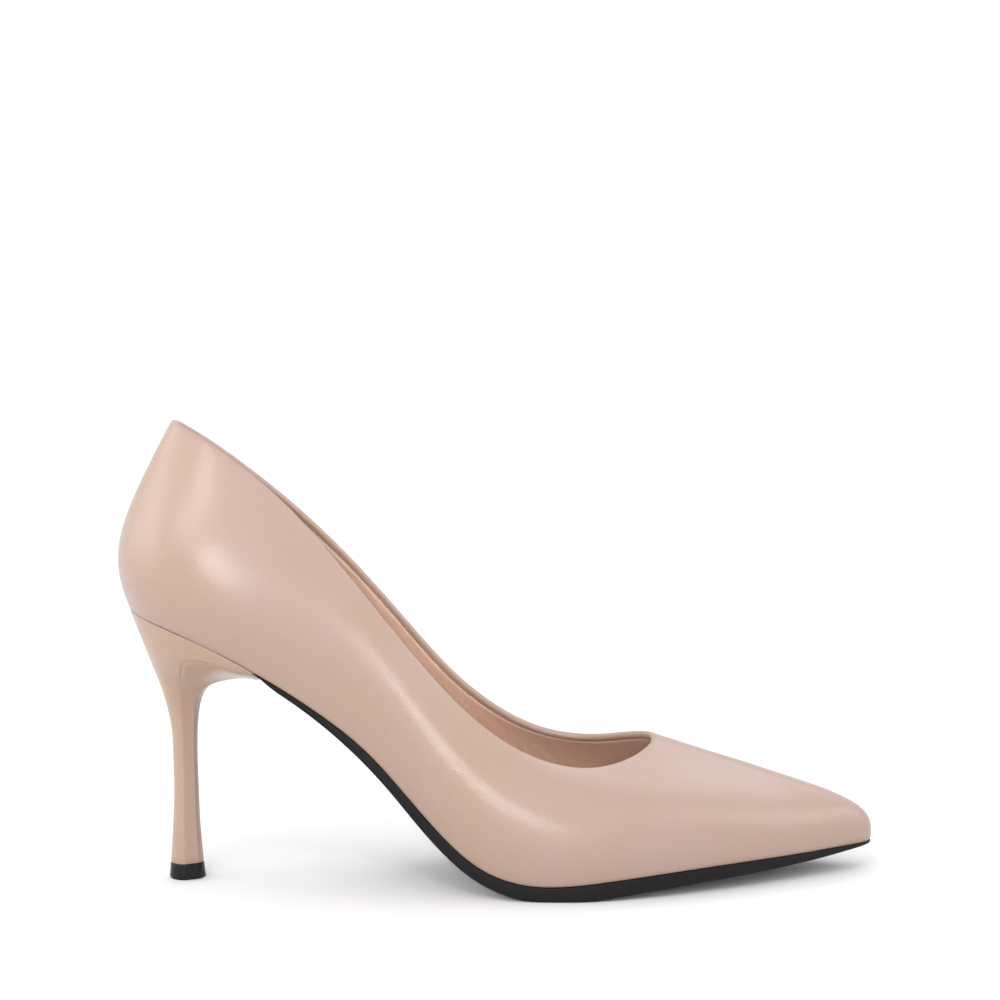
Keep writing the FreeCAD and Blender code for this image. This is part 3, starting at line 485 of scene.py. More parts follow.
def lining_shape(name, start, end):
    """One panel of the lining, puckered along its stitched top edge, pinched at its ends."""
    count = round((end - start) * COLUMNS_PER_STATION) + 1
    gap = 0.002
    shell = Shell(np.linspace(start + gap, end - gap, count))
    along = topline_travel(shell.u)[:, None]
    turn = stitch_turn(shell)
    scallop = 0.05 * np.cos(turn) + 0.04 * np.sin(along * 0.9)
    top = shell.length - flap_drop(shell) - LINING_GAP + scallop
    rows = shell.wall.rows(shell.column(LEATHER + 0.4), top, 34)
    from_top = top - rows
    from_end = np.minimum(along - along[0], along[-1] - along)
    pinch = 0.06 * hump(from_end, 0.4)
    proud = 0.42 * hump(from_top - 0.5, 0.6) * (1 + 0.22 * np.cos(turn + 0.6)
                                                + 0.12 * np.sin(along * 1.7))
    slack = (0.07 * np.sin(along * 0.8 + from_top * 0.7) * np.sin(along * 0.23 - from_top * 0.31)
             * smooth_step(0.5, 5.0, from_top) * (1 - smooth_step(26.0, 40.0, from_top)))
    shown = LINING_DEPTH + LINING + proud + slack - pinch
    rounded = np.clip(from_top / 0.28, 0.0, 1.0)
    shown = shown - 0.3 * (1 - np.sqrt(1 - (1 - rounded) ** 2))
    sides = [shell.points(rows, LINING_DEPTH), shell.points(rows, shown)[:, ::-1]]
    piece = solid_mesh(name, np.concatenate(sides, axis=1), closed=False)
    # Lighter along the top edge: partly the suede's lighter raw cut edge, partly a painted highlight
    # where the proud edge catches the light.
    edge = shell.points(top, LINING_DEPTH + LINING)[:, 0]
    store(piece, "edge", lambda places: hump(distance_to(edge, places) - 0.2, 0.5))
    return piece


def distance_to(line, places):
    """Distance of each place from the nearest of the line's points."""
    tree = KDTree(len(line))
    for i, point in enumerate(line):
        tree.insert(point, i)
    tree.balance()
    return np.array([tree.find(place)[2] for place in places])


STITCH_REACH = 0.38 * STITCH_PITCH      # half a stitch's length
STITCH_RINGS, STITCH_SIDES = 7, 8


def stitching():
    """Row of thread stitches in the groove between the folded edge and the lining."""
    shell = Shell(np.arange(0.0, TURN, 1 / COLUMNS_PER_STATION))
    groove = shell.length - flap_drop(shell) - LINING_GAP / 2
    line, inward = shell.points(groove, THREAD_DEPTH)[:, 0], shell.directions(groove)[1][:, 0]
    line, inward = (np.vstack([rows, rows[:1]]) for rows in (line, inward))
    travel = travelled(line)
    count = int(travel[-1] / STITCH_PITCH)

    def along(rows, at):
        return np.stack([np.interp(at, travel, rows[:, k]) for k in range(3)], -1)

    stretch = np.linspace(-1.0, 1.0, STITCH_RINGS)
    sink = 0.25 * stretch[:, None] ** 4
    radius = THREAD_RADIUS * np.sqrt(np.maximum(1 - stretch ** 6, 0.02))[:, None, None]
    sides = np.linspace(0, 2 * np.pi, STITCH_SIDES, endpoint=False)[:, None]
    tube = tube_faces(STITCH_RINGS, STITCH_SIDES, closed=False)
    points, faces = [], []
    for i in range(count):
        centre = travel[-1] * (i + 0.5) / count
        spine = along(line, centre + stretch * STITCH_REACH)
        out = unit(along(inward, centre))
        beside = np.cross(unit(spine[-1] - spine[0]), out)
        round_thread = np.cos(sides) * out + np.sin(sides) * beside
        points.append(((spine - out * sink)[:, None] + radius * round_thread).reshape(-1, 3))
        faces += (tube + i * STITCH_RINGS * STITCH_SIDES).tolist()
    return mesh_object("topline_stitching", np.vstack(points), faces)


# ------------------------ bottom pieces
CUP_WIDTH = 6.0             # of the raised border of a cupped sheet
SOCK_GAP = 0.15             # from the lining to the sock's edge
TAIL_SHARE = 0.14           # of the outsole's thickness that is left at the end of its tail


def plate(name, u, edge, low, high, round_low, round_high, across=16, cup=0.0):
    """Sheet of the sole stack with rounded edges, between two side profiles.

    u runs along the lateral half from the rear end of the sheet to its front; edge(u, inset)
    gives the outline's points moved inwards.  Each column is a ring over the top from the
    lateral to the medial edge and back along the bottom.
    """
    def row(side, inset, height):
        place = edge(side, inset)
        return np.column_stack([place[:, :2], height(place[:, 0], inset)])

    def fillet(side, radius, height, direction):
        """Rows from the side of the edge round on to the face."""
        size = radius(edge(side, 0.0)[:, 0])
        made = []
        for angle in np.linspace(0.0, np.pi / 2, 5):
            turned = row(side, size * (1 - math.cos(angle)), height)
            turned[:, 2] -= direction * size * (1 - math.sin(angle))
            made.append(turned)
        return made

    def face(radius, height, direction):
        """Rows of one face from the lateral edge to the medial edge."""
        left, right = (fillet(side, radius, height, direction) for side in (u, TURN - u))
        start, end = left[-1][:, :2], right[-1][:, :2]
        width = np.linalg.norm(end - start, axis=1)
        middle = []
        for share in np.linspace(0.0, 1.0, across + 1)[1:-1]:
            plan = start * (1 - share) + end * share
            inset = np.minimum(share, 1 - share) * width
            middle.append(np.column_stack([plan, height(plan[:, 0], inset)]))
        return left + middle + right[::-1]

    def cupped(x, inset):
        return high(x) + cup * (1 - smooth_step(0.0, CUP_WIDTH, inset))

    ring = face(round_high, cupped, 1.0) + face(round_low, lambda x, inset: low(x), -1.0)[::-1]
    return solid_mesh(name, np.stack(ring, 1), closed=False)


def half_turn(start_x, end_x=None, count=150):
    """Stations of the lateral half from one foot x to another, closer together at the toe."""
    fine = np.linspace(0.0, TOE, 3000)
    start = np.interp(start_x, FOOT(fine)[:, 0], fine)
    end = TOE if end_x is None else np.interp(end_x, FOOT(fine)[:, 0], fine)
    return start + (end - start) * np.sin(np.linspace(0.0, np.pi / 2, count))


def capped(limit, thickness):
    """Edge radius that stays small where the sheet is thin."""
    return lambda x: np.minimum(limit, 0.42 * thickness(x))


def outsole_shape():
    top = side_profile(level(-CLEAR))

    def thickness(x):
        tail = TAIL_SHARE + (1 - TAIL_SHARE) * smooth_step(*SOLE_TAPER, x)
        return (top(x) - underside(x)) * tail

    def low(x):
        return top(x) - thickness(x)

    return plate("outsole_rubber", half_turn(SOLE_TAPER[0]), foot_edge, low, top,
                 capped(0.9, thickness), capped(0.25, thickness), across=22)


def inside_lining(u, inset):
    """Outline along which the sock meets the lining."""
    shell = Shell(u)
    rows = np.linspace(2.0, 16.0, 40)[None, :] + 0 * u[:, None]
    inner = shell.points(rows, LINING_DEPTH + LINING)
    height = inner[..., 2] - SEAT(inner[..., 0])
    wanted = (sock_floor(inner[..., 0]) + SOCK) / seat_normal(inner[..., 0])[..., 2]
    found = np.argmax(height > wanted, axis=1)
    place = inner[np.arange(len(u)), found]
    plan = place[:, :2] - outward(u)[:, :2] * (SOCK_GAP + np.asarray(inset)).reshape(-1, 1)
    return np.column_stack([plan, SEAT(plan[:, 0])])


# ------------------------ the heel
HEEL_COLUMNS = 144
CUP_ROWS, COVE_ROWS, STEM_ROWS = 26, 16, 64
BACK_EDGE = 2               # points of the cup's rings where the edges down the stem start
BREAST_EDGE = 6
LIP_TURN = 0.1              # part of the half ring over which the lip turns down the stem
LIP_RADIUS = 4.0
WIDEST = 0.46               # share of the stem's depth at which it is widest
BREAST_DEPTH = 0.13         # share of that depth that the breast facet takes
BREAST_WIDTH = 0.6          # width of that facet as a share of the stem's
BREAST_SPREAD = 0.16        # what that share gains where the stem meets the cup
BREAST_CROWN = 0.025        # how far that facet bulges, as a share of the stem's depth
OTHER_SIDE = np.array([1.0, -1.0, 1.0])     # takes a point to the shoe's other side


def stem_ring(section, shares, edges):
    """Half a section of the stem: round back, flat side facet, narrow breast facet."""
    z, back, front, half_width = section
    depth = front - back
    edge = np.array([back + WIDEST * depth, half_width])
    spread = BREAST_WIDTH + BREAST_SPREAD * smooth_step(50.0, 62.0, z)
    corner = np.array([front - BREAST_DEPTH * depth, spread * half_width])
    angle = np.pi / 2 * np.minimum(shares / edges[0], 1.0)
    round_back = np.column_stack([edge[0] - (edge[0] - back) * np.cos(angle),
                                  half_width * np.sin(angle)])
    flat = np.clip((shares - edges[0]) / (edges[1] - edges[0]), 0.0, 1.0)[:, None]
    breast = np.clip((shares - edges[1]) / (1.0 - edges[1]), 0.0, 1.0)[:, None]
    end = np.array([front, 0.0])
    plan = round_back + (corner - edge) * flat + (end - corner) * breast
    plan[:, :1] += 4 * BREAST_CROWN * depth * breast * (1 - breast)
    return np.column_stack([plan, np.full(len(shares), z)])


def whole_ring(half, shares):
    """Smooth closed ring, as HEEL_COLUMNS points, through a half ring and its mirror image."""
    places = np.concatenate([shares, 2.0 - shares[-2:0:-1]])
    curve = Curve(np.concatenate([places, places + 2.0, places + 4.0]),
                  np.vstack([mirrored_ring(half)] * 3))
    return curve(np.linspace(2.0, 4.0, HEEL_COLUMNS, endpoint=False))


def mirrored_ring(half):
    """Closed ring from the half ring that runs from back to breast."""
    return np.vstack([half * OTHER_SIDE, half[-2:0:-1]])


def edged_ring(half, shares, fine, first, second):
    """Closed ring like whole_ring, but with an edge at two of the half ring's points."""
    back = Curve(np.concatenate([-shares[first:0:-1], shares[:first + 1]]),
                 np.vstack([half[first:0:-1] * OTHER_SIDE, half[:first + 1]]))
    side = Curve(shares[first:second + 1], half[first:second + 1])
    breast = Curve(np.concatenate([shares[second:], 2 - shares[-2:second - 1:-1]]),
                   np.vstack([half[second:], half[-2:second - 1:-1] * OTHER_SIDE]))
    made = np.where((fine < shares[first])[:, None], back(fine), side(fine))
    return mirrored_ring(np.where((fine > shares[second])[:, None], breast(fine), made))


def cover_rings(shares, edges):
    """Rings of the cup and the stem from the rim down, and the distance down to each."""
    rim = np.array(CUP_RIM)
    rims = np.column_stack([rim, np.full(len(rim), RIM_TOP)])
    seats = np.column_stack([rim, SEAT(rim[:, 0])])
    halves = [rims, seats, np.array(CUP_LIP), np.array(CUP_COVE)]
    fine = np.linspace(0.0, 1.0, HEEL_COLUMNS // 2 + 1)
    rings = [whole_ring(half, shares) for half in halves[:3]]
    rings.append(edged_ring(halves[3], shares, fine, BACK_EDGE, BREAST_EDGE))
    rings += [mirrored_ring(stem_ring(section, fine, edges)) for section in STEM]
    halves += [stem_ring(section, shares, edges) for section in STEM]
    steps = [np.linalg.norm(b - a, axis=-1).mean() for a, b in zip(halves, halves[1:])]
    return np.concatenate([[0.0], np.cumsum(steps)]), np.array(rings)


def heel_cover_shape():
    """Leather sleeve of the heel: smooth round the back, with a crisp lip at the breast."""
    travel = travelled(np.array(CUP_RIM))
    shares = travel / travel[-1]
    edges = (shares[BACK_EDGE], shares[BREAST_EDGE])
    levels, rings = cover_rings(shares, edges)
    seat, lip, cove = levels[1:4]
    rows = np.unique(np.concatenate([
        np.linspace(seat, lip, CUP_ROWS), lip + np.array([-0.5, -0.2, 0.2, 0.5]),
        np.linspace(lip, cove, COVE_ROWS), np.linspace(cove, levels[-1], STEM_ROWS)]))
    smooth = Curve(levels, rings)(rows)
    above, below = Curve(levels[:3], rings[:3]), Curve(levels[2:], rings[2:])
    creased = np.where((rows < lip)[:, None, None], above(rows), below(rows))
    place = np.linspace(0.0, 2.0, HEEL_COLUMNS, endpoint=False)
    from_back = np.minimum(place, 2.0 - place)
    share = smooth_step(edges[0], edges[0] + LIP_TURN, from_back)[None, :, None]
    outer = (smooth * (1 - share) + creased * share).transpose(1, 0, 2)
    outer[:, 0, 2] = SEAT(outer[:, 0, 0]) - CLEAR
    inward = grid_normals(outer)
    tucked = 0.24 * hump(rows - seat, 0.35) + 0.1 * hump(rows[-1] - rows, 0.2)
    from_breast = (1.0 - from_back[:, None]) * travel[-1] * 0.35
    seam = 0.12 * hump(from_breast, 0.22) * smooth_step(lip, lip + 12, rows)
    sunk = tucked + lip_groove(rows - lip, from_back - edges[0]) + seam
    outer = outer + inward * sunk[..., None]
    inner = outer + inward * COVER
    inner[:, 0, 2] = SEAT(inner[:, 0, 0]) - CLEAR
    inner[:, -1, 2] = LIFT_HEIGHT
    return solid_mesh("heel_cover_skin", np.concatenate([outer, inner[:, ::-1]], axis=1),
                      closed=True, crease_degrees=17.0)


def lip_groove(under_lip, past_edge):
    """Depth of the crease that follows the lip and turns down the stem in a quarter circle."""
    across = past_edge[:, None] * LIP_RADIUS / LIP_TURN
    down = under_lip[None, :] + 0 * across
    in_turn = (across < LIP_RADIUS) & (down < LIP_RADIUS)
    turned = LIP_RADIUS - np.hypot(LIP_RADIUS - across, LIP_RADIUS - down)
    inside = np.where(in_turn, turned, np.minimum(across, down))
    depth = (0.34 + 0.1 * smooth_step(2.0, 10.0, across)) * (1 - 0.85 * smooth_step(3.0, 20.0, down))
    return depth * hump(inside - 0.4, 0.5) * (inside > -0.8)


def grid_normals(grid):
    """Inward unit normals of a grid that closes round its columns."""
    round_way = np.roll(grid, -1, axis=0) - np.roll(grid, 1, axis=0)
    down = np.gradient(grid, axis=1)
    normal = unit(np.cross(round_way, down))
    middle = grid.mean(axis=0, keepdims=True)
    inwards = np.sign(np.sum(normal * (middle - grid)) or 1.0)
    return normal * inwards


def top_lift_shape():
    """Hard tip with rounded edges, closed by flat faces drawn in to their middles."""
    shares = np.linspace(0.0, 1.0, 25)
    lift = np.array(LIFT)
    table = Curve(lift[:, 0], lift[:, 1:])
    rings = []
    for z, inset in LIFT_PROFILE:
        back, front, half_width = table(z)
        section = (z, back + inset, front - inset, half_width - inset)
        rings.append(mirrored_ring(stem_ring(section, shares, LIFT_EDGES)))
    first, last = (0 * ring + (ring[0] + ring[len(ring) // 2]) / 2 for ring in (rings[0], rings[-1]))
    rings = [first] + rings + [last]
    return solid_mesh("top_lift_tip", np.stack(rings, 1), closed=True)


# ------------------------ materials
class Finish:
    """A procedural material, put together a node at a time."""

    def __init__(self, name, **constants):
        self.material = bpy.data.materials.new(name)
        self.material.use_nodes = True
        self.tree = self.material.node_tree
        self.shader = self.tree.nodes["Principled BSDF"]
        for key, value in constants.items():
            self.shader.inputs[key.replace("_", " ")].default_value = value
        self.place = self.node("TexCoord").outputs["Object"]

    def node(self, kind, inputs=None, **settings):
        made = self.tree.nodes.new("ShaderNode" + kind)
        for key, value in settings.items():
            setattr(made, key, value)
        for key, value in (inputs or {}).items():
            self.feed(made.inputs[key], value)
        return made

    def feed(self, socket, value):
        if isinstance(value, bpy.types.NodeSocket):
            self.tree.links.new(value, socket)
        else:
            socket.default_value = value

    def stretched(self, scale):
        """Coordinates scaled differently along each axis."""
        return self.node("Mapping", {"Vector": self.place, "Scale": scale}).outputs["Vector"]

    def noise(self, size_mm, detail=2.0, roughness=0.5, place=None, distortion=0.0):
        return self.node("TexNoise", {
            "Vector": place or self.place, "Scale": 1 / (size_mm * MM), "Detail": detail,
            "Roughness": roughness, "Distortion": distortion}).outputs["Fac"]

    def cells(self, size_mm, feature="F1"):
        return self.node("TexVoronoi", {"Vector": self.place, "Scale": 1 / (size_mm * MM)},
                         feature=feature).outputs["Distance"]

    def waves(self, size_mm, direction, distortion):
        """Bands this far apart: a wave texture of scale 1 has them pi / 10 apart."""
        return self.node("TexWave", {
            "Vector": self.place, "Scale": 0.314 / (size_mm * MM), "Distortion": distortion,
            "Detail": 1.0}, bands_direction=direction).outputs["Fac"]

    def attribute(self, name):
        return self.node("Attribute", attribute_name=name).outputs["Fac"]

    def ramp(self, value, low, high, to_low=0.0, to_high=1.0):
        return self.node("MapRange", {
            "Value": value, "From Min": low, "From Max": high, "To Min": to_low,
            "To Max": to_high}).outputs["Result"]

    def mix(self, share, low, high, blend="MIX"):
        made = self.node("Mix", data_type="RGBA", blend_type=blend)
        for socket, value in ((made.inputs[0], share), (made.inputs[6], low),
                              (made.inputs[7], high)):
            if isinstance(value, tuple):
                value = tuple(value) + (1.0,) * (4 - len(value))
            self.feed(socket, value)
        return made.outputs[2]

    def layers(self, colour, *layers):
        """A colour under others, each of which covers more as a value goes from low to high."""
        for value, low, high, most, over in layers:
            colour = self.mix(self.ramp(value, low, high, 0.0, most), colour, over)
        return colour

    def bump(self, *layers):
        """Bump from (height 0 to 1, depth in millimetres) layers."""
        normal = None
        for height, depth_mm in layers:
            made = self.node("Bump", {"Height": height, "Strength": 1.0, "Distance": depth_mm * MM})
            if normal is not None:
                self.tree.links.new(normal, made.inputs["Normal"])
            normal = made.outputs["Normal"]
        self.tree.links.new(normal, self.shader.inputs["Normal"])
        self.tree.links.new(normal, self.shader.inputs["Coat Normal"])

    def rough(self, value, low, high):
        """Roughness that goes from low to high over the middle of a noise's range."""
        return self.ramp(value, 0.3, 0.7, low, high)

    def finish(self, colour, roughness):
        self.feed(self.shader.inputs["Base Color"], colour)
        self.feed(self.shader.inputs["Roughness"], roughness)
        return self.material


NUDE = (0.352, 0.238, 0.188)
NUDE_WARM = (0.348, 0.233, 0.173)
NUDE_PINK = (0.356, 0.243, 0.201)
NUDE_DEEP = (0.24, 0.15, 0.115)
NUDE_PAINTED_SHADE = (0.26, 0.165, 0.12)


def nude_leather(name, grain_mm, gloss, tint=(1.0, 1.0, 1.0)):
    """Smooth calf leather with a fine pebbled grain, faint blotches and painted shade along some
    edges.
    """
    made = Finish(name, IOR=1.5, Coat_Weight=0.4, Coat_Roughness=0.16)
    blotch = made.noise(38.0, detail=3.0)
    fleck = made.noise(2.2, detail=4.0, roughness=0.65)
    grain = made.cells(grain_mm)
    coarse = made.cells(grain_mm * 2.3, feature="SMOOTH_F1")
    pores = made.noise(0.22, detail=1.0)
    # The last layer is painted shade: darker where a piece's stored attribute is high.
    colour = made.layers(NUDE_WARM, (blotch, 0.35, 0.65, 1.0, NUDE_PINK),
                         (fleck, 0.35, 0.75, 0.22, NUDE), (grain, 0.15, 0.75, 0.07, NUDE_DEEP),
                         (made.attribute("painted_shade"), 0.0, 1.0, 0.55, NUDE_PAINTED_SHADE))
    colour = made.mix(1.0, colour, tint, blend="MULTIPLY")
    made.bump((grain, 0.05), (coarse, 0.03), (pores, 0.008))
    return made.finish(colour, made.rough(fleck, gloss - 0.03, gloss + 0.05))


def suede_lining():
    """Pigskin suede: short nap, pores in small groups, darker where hands rub it."""
    made = Finish("lining_suede", IOR=1.4, Sheen_Weight=0.35, Sheen_Roughness=0.45,
                  Specular_IOR_Level=0.25)
    nap = made.noise(0.5, detail=4.0, roughness=0.7)
    mottle = made.noise(1.6, detail=3.0, roughness=0.6)
    drift = made.noise(22.0, detail=2.0)
    pores = made.cells(0.8)
    # The last layer is lighter along the top edge: the raw cut edge, and a painted highlight.
    colour = made.layers(
        (0.56, 0.365, 0.275), (drift, 0.35, 0.65, 1.0, (0.59, 0.395, 0.305)),
        (mottle, 0.35, 0.7, 0.35, (0.48, 0.305, 0.225)), (nap, 0.4, 0.8, 0.3, (0.64, 0.44, 0.35)),
        (made.attribute("edge"), 0.0, 1.0, 0.75, (0.84, 0.64, 0.54)))
    creases = made.waves(2.6, "DIAGONAL", 6.0)
    made.bump((nap, 0.05), (pores, 0.03), (creases, 0.09))
    return made.finish(colour, made.rough(nap, 0.8, 0.95))


def sock_leather():
    made = Finish("sock_leather", IOR=1.45, Sheen_Weight=0.15, Sheen_Roughness=0.4)
    grain = made.cells(0.55)
    drift = made.noise(14.0, detail=3.0)
    foot_rub = made.noise(30.0, detail=1.0)
    colour = made.layers((0.60, 0.425, 0.33), (drift, 0.3, 0.7, 1.0, (0.635, 0.46, 0.37)),
                         (foot_rub, 0.45, 0.7, 0.2, (0.55, 0.38, 0.29)))
    made.bump((grain, 0.03), (made.noise(0.35, detail=2.0), 0.012))
    return made.finish(colour, made.rough(drift, 0.5, 0.62))


def outsole_rubber():
    """Black moulded rubber: satin, with fine moulding grain and light scuffs."""
    made = Finish("outsole_rubber", IOR=1.45, Specular_IOR_Level=0.22)
    grain = made.noise(0.35, detail=3.0, roughness=0.6)
    scuff = made.noise(3.0, detail=5.0, roughness=0.7, distortion=1.2)
    cells = made.cells(0.5)
    colour = made.layers((0.006, 0.0058, 0.0062), (scuff, 0.55, 0.8, 0.35, (0.017, 0.016, 0.0165)))
    made.bump((grain, 0.02), (cells, 0.015))
    return made.finish(colour, made.ramp(scuff, 0.3, 0.75, 0.42, 0.6))


def lift_plastic():
    made = Finish("lift_plastic", IOR=1.45, Specular_IOR_Level=0.28)
    swirl = made.noise(1.4, detail=4.0, roughness=0.6, distortion=0.8)
    colour = made.layers((0.004, 0.004, 0.0045), (swirl, 0.4, 0.75, 1.0, (0.01, 0.0098, 0.01)))
    made.bump((swirl, 0.01), (made.noise(0.2), 0.004))
    return made.finish(colour, made.rough(swirl, 0.24, 0.38))


def woven(name, thread_mm, colour_low, colour_high):
    """Plain weave of threads along two directions."""
    made = Finish(name, Sheen_Weight=0.3, Sheen_Roughness=0.5)
    warp, weft = made.waves(thread_mm, "X", 0.6), made.waves(thread_mm, "Z", 0.6)
    fuzz = made.noise(thread_mm * 0.5, detail=3.0)
    crossed = made.node("Math", {0: warp, 1: weft}, operation="MULTIPLY").outputs["Value"]
    colour = made.layers(colour_low, (crossed, 0.1, 0.8, 1.0, colour_high))
    made.bump((crossed, 0.05), (fuzz, 0.02))
    return made.finish(colour, made.rough(fuzz, 0.75, 0.9))


def fibrous(name, colour_low, colour_high, fibre_mm):
    """Pressed fibre or board: short fibres with darker specks."""
    made = Finish(name, Specular_IOR_Level=0.3)
    fibres = made.noise(fibre_mm, detail=5.0, roughness=0.75, place=made.stretched((1.0, 3.0, 1.0)))
    specks = made.cells(fibre_mm * 2.5)
    colour = made.layers(colour_low, (fibres, 0.35, 0.65, 1.0, colour_high),
                         (specks, 0.15, 0.0, 0.5, (0.12, 0.08, 0.05)))
    made.bump((fibres, 0.05))
    return made.finish(colour, made.rough(fibres, 0.72, 0.88))


def spring_steel():
    """Blued steel with rolling lines and a little oxide."""
    made = Finish("spring_steel", Metallic=1.0)
    rolled = made.noise(1.2, detail=4.0, place=made.stretched((0.06, 1.0, 1.0)))
    oxide = made.noise(6.0, detail=5.0, roughness=0.7)
    colour = made.layers((0.42, 0.43, 0.45), (rolled, 0.35, 0.65, 1.0, (0.55, 0.56, 0.58)),
                         (oxide, 0.58, 0.75, 0.5, (0.25, 0.16, 0.10)))
    made.bump((rolled, 0.01))
    return made.finish(colour, made.rough(oxide, 0.28, 0.45))


def grainy(name, colour_low, colour_high, size_mm, rough, depth=0.08):
    """Granules pressed or foamed together: cork, foam, moulded plastic."""
    made = Finish(name, Specular_IOR_Level=0.35)
    granules = made.cells(size_mm)
    drift = made.noise(size_mm * 3, detail=3.0)
    colour = made.layers(colour_low, (granules, 0.1, 0.6, 1.0, colour_high),
                         (drift, 0.35, 0.7, 0.4, colour_low))
    made.bump((granules, depth), (drift, depth * 0.5))
    return made.finish(colour, made.rough(drift, rough - 0.06, rough + 0.06))


def thread():
    made = Finish("stitching_thread", Sheen_Weight=0.3, Sheen_Roughness=0.3)
    twist = made.waves(0.35, "DIAGONAL", 1.0)
    colour = made.layers((0.58, 0.40, 0.31), (twist, 0.2, 0.8, 1.0, (0.70, 0.52, 0.43)))
    made.bump((twist, 0.04))
    return made.finish(colour, made.ramp(twist, 0.0, 1.0, 0.45, 0.65))


SLOT_FINISH = {
    "upper_leather": nude_leather("upper_calf_leather", 0.6, 0.40),
    "heel_cover_leather": nude_leather("heel_calf_leather", 0.5, 0.36, tint=(1.0, 0.975, 0.9)),
    "lining": suede_lining(),
    "sock": sock_leather(),
    "cloth_tape": woven("cloth_tape", 0.4, (0.62, 0.58, 0.50), (0.80, 0.76, 0.68)),
    "backing_cloth": woven("backing_cloth", 0.5, (0.66, 0.62, 0.55), (0.84, 0.80, 0.72)),
    "fibre_stiffener": fibrous("fibre_stiffener", (0.52, 0.46, 0.36), (0.68, 0.62, 0.50), 0.8),
    "insole_fibreboard": fibrous("insole_fibreboard", (0.30, 0.20, 0.12), (0.44, 0.31, 0.20), 1.0),
    "steel": spring_steel(),
    "cork": grainy("filler_cork", (0.30, 0.17, 0.08), (0.52, 0.34, 0.19), 1.6, 0.85),
    "foam": grainy("pad_foam", (0.70, 0.66, 0.56), (0.86, 0.83, 0.74), 0.7, 0.9, 0.12),
    "outsole_rubber": outsole_rubber(),
    "heel_plastic": grainy("heel_plastic", (0.62, 0.60, 0.56), (0.70, 0.68, 0.64), 2.4, 0.4, 0.02),
    "lift_plastic": lift_plastic(),
}


# ------------------------ putting the shoe together
INNER_NODES = {
    "cloth_tape": ("topline_tape", "back_seam_tape"),
    "fibre_stiffener": ("heel_counter", "toe_puff"),
    "backing_cloth": ("interlining",),
    "insole_fibreboard": ("insole_board", "shank_board"),
    "cork": ("bottom_filler",),
    "heel_plastic": ("heel_core",),
    "steel": ("steel_shank", "shank_rivets", "heel_dowel", "heel_screw", "heel_nails",
              "top_lift_pin")}


def finish_cad_nodes():
    """Gives the inner pieces, which keep their CAD shape, their procedural finish."""
    for slot_name, nodes in INNER_NODES.items():
        for node in nodes:
            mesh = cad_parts[node].data
            mesh.materials.clear()
            mesh.materials.append(SLOT_FINISH[slot_name])


def build_upper():
    upper = upper_shape()
    # painted shade: a little darker in the crease along the foot edge
    store(upper, "painted_shade", lambda places: hump(places[:, 2] - SEAT(places[:, 0]), 1.2))
    settle(upper, "upper_leather", "upper_leather")
    panels = (("vamp_lining", VAMP_SEAM, TURN - VAMP_SEAM),
              ("quarter_lining_lateral", GRIP_REACH, VAMP_SEAM),
              ("quarter_lining_medial", TURN - VAMP_SEAM, TURN - GRIP_REACH),
              ("heel_grip", -GRIP_REACH, GRIP_REACH))
    for node, start, end in panels:
        settle(lining_shape(node + "_skin", start, end), "lining", node)
    settle(stitching(), "cloth_tape", material=thread())


def build_pad(node, stations, inset, low, high, round_low, round_high):
    """Foam pad under the sock, whose outline follows the foot edge."""
    pad = plate(node + "_foam", stations, lambda u, inwards: foot_edge(u, inset + inwards),
                low, high, round_low, round_high)
    settle(pad, "foam", node)


def build_bottom():
    settle(outsole_shape(), "outsole_rubber", "outsole")
    sock = plate("sock_lining_skin", half_turn(SOCK_START), inside_lining,
                 side_profile(sock_floor), side_profile(lambda x: sock_floor(x) + SOCK),
                 level(0.2), level(0.3), across=24, cup=0.7)
    settle(sock, "sock", "sock_lining")
    low = side_profile(level(SOCK_FLOOR - CLEAR))
    high = side_profile(lambda x: sock_floor(x) - PAD_GAP)
    build_pad("heel_pad", half_turn(*HEEL_PAD_SPAN, 60), PAD_INSETS[0], low, high, level(0.15),
              lambda x: np.clip(0.4 * (high(x) - low(x)), 0.02, 0.5))
    low, high = (side_profile(level(height)) for height in FOREPART_PAD)
    build_pad("forepart_pad", half_turn(FOREPART_PAD_START), PAD_INSETS[1], low, high,
              level(0.2), level(0.45))


def build_heel():
    cover = heel_cover_shape()
    # painted shade: darker along the cover's foot, where it meets the top lift
    store(cover, "painted_shade", lambda places: hump(places[:, 2] - LIFT_HEIGHT, 1.5))
    settle(cover, "heel_cover_leather", "heel_cover")
    settle(top_lift_shape(), "lift_plastic", "top_lift")


# ------------------------ floor, light, camera
FLOOR_REACH = 6.0           # metres to each side
FLOOR_SINK = 0.0001         # below the soles, so that the two never share a plane
# The floor's paint evens out the lamps: painted shade near the shoe, where they light it most, and
# painted light far off.
FLOOR_PAINTED_LIGHT_GREYS = (0.76, 0.97)  # near the shoe and far from it
FLOOR_FADE = (0.2, 2.2)     # metres over which the one goes into the other
WORLD_LIGHT = 1.05
COOL, COOL_GLINT = (0.93, 0.98, 1.2), (0.9, 0.97, 1.2)
HEEL, VAMP = (-0.05, 0.0, 0.08), (0.062, -0.015, 0.03)     # where the lights aim
CAMERA_TARGET = Vector((-0.0004, 0.0009, 0.12194))
CAMERA_DISTANCE = 0.85
CAMERA_AZIMUTH, CAMERA_ELEVATION = math.radians(-2.5), math.radians(7.0)
CAMERA_LENS, SENSOR = 95.87, 36.0


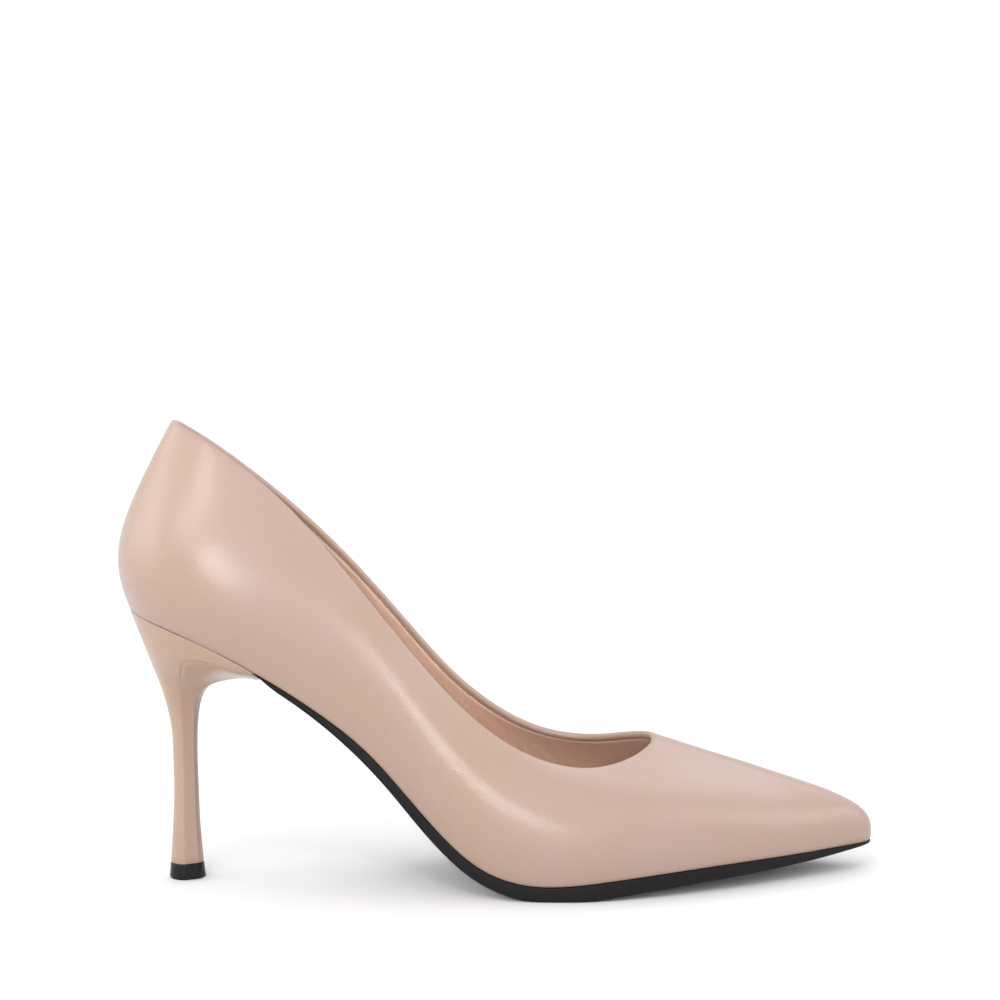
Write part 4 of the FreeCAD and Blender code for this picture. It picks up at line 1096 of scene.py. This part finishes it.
def build_floor():
    mesh = bpy.data.meshes.new("studio_floor")
    corners = [(x, y, 0.0) for x in (-FLOOR_REACH, FLOOR_REACH) for y in (-FLOOR_REACH, FLOOR_REACH)]
    mesh.from_pydata(corners, [], [(0, 2, 3, 1)])
    floor = add_object("studio_floor", mesh)
    floor.location.z = -FLOOR_SINK
    paint = Finish("floor_paint", Specular_IOR_Level=0.2)
    # painted shade near the shoe and painted light far off, so the floor looks evenly white
    away = paint.node("VectorMath", {0: paint.place}, operation="LENGTH").outputs["Value"]
    share = paint.node("MapRange", {
        "Value": away, "From Min": FLOOR_FADE[0], "From Max": FLOOR_FADE[1]},
        interpolation_type="SMOOTHSTEP").outputs["Result"]
    near, far = ((grey,) * 3 for grey in FLOOR_PAINTED_LIGHT_GREYS)
    mesh.materials.append(paint.finish(paint.mix(share, near, far), 0.7))


def softbox(name, place, target, size, power, colour=(1.0, 1.0, 1.0), roll=0.0, spread=180.0):
    """Area light; a narrow spread keeps it to a glint where it aims."""
    light = bpy.data.lights.new(name, "AREA")
    light.spread = math.radians(spread)
    light.shape = "RECTANGLE"
    light.size, light.size_y = size
    light.energy = power
    light.color = colour
    lamp = add_object(name, light)
    lamp.location = place
    aim = Vector(target) - Vector(place)
    turn = Quaternion((0.0, 0.0, 1.0), math.radians(roll))
    lamp.rotation_euler = (aim.to_track_quat("-Z", "Y") @ turn).to_euler()


def build_light():
    world = bpy.data.worlds.new("studio")
    world.use_nodes = True
    background = world.node_tree.nodes["Background"]
    background.inputs["Color"].default_value = (1.0, 1.0, 1.0, 1.0)
    background.inputs["Strength"].default_value = WORLD_LIGHT
    scene.world = world
    softbox("key", (-0.95, -1.25, 1.15), HEEL, (0.8, 0.5), 5.5)
    softbox("high_front", (0.1, -1.0, 1.45), (0.0, 0.0, 0.06), (1.0, 0.5), 1.3)
    softbox("behind", (0.6, 0.7, 1.2), (0.03, 0.0, 0.04), (1.0, 0.6), 2.3, COOL)
    softbox("heel_side", (-1.4, 0.1, 0.7), HEEL, (1.3, 1.2), 6.0)
    softbox("toe_end", (1.3, -0.2, 0.7), (0.05, 0.0, 0.04), (0.7, 0.7), 3.8)
    softbox("toe_side", (0.9, -1.0, 0.9), (0.06, 0.0, 0.04), (0.5, 0.4), 0.5)
    softbox("strip", (-1.21, -0.19, 0.55), (-0.11, -0.02, 0.116), (0.06, 0.8), 1.1, roll=47.0)
    softbox("upper_glint", (-0.36, -0.8, 1.07), (-0.091, -0.02, 0.129), (0.3, 0.1), 0.13,
            spread=40.0)
    softbox("lower_glint", (-0.15, -1.0, 0.345), (-0.089, -0.028, 0.105), (0.44, 0.06), 0.15,
            roll=-28.0, spread=32.0)
    softbox("vamp_glint", (0.62, 0.5, 0.83), VAMP, (0.3, 0.12), 0.018, COOL_GLINT, spread=40.0)


def build_camera():
    """A little to the rear of square on, and a little above level."""
    camera = add_object("camera", bpy.data.cameras.new("camera"))
    back = Vector((math.sin(CAMERA_AZIMUTH) * math.cos(CAMERA_ELEVATION),
                   -math.cos(CAMERA_AZIMUTH) * math.cos(CAMERA_ELEVATION),
                   math.sin(CAMERA_ELEVATION)))
    camera.location = CAMERA_TARGET + back * CAMERA_DISTANCE
    camera.rotation_euler = (-back).to_track_quat("-Z", "Y").to_euler()
    camera.data.sensor_width = SENSOR
    camera.data.lens = CAMERA_LENS
    camera.data.clip_start = 0.01
    scene.camera = camera
    scene.view_settings.view_transform = "Standard"


finish_cad_nodes()
build_upper()
build_bottom()
build_heel()
build_floor()
build_light()
build_camera()
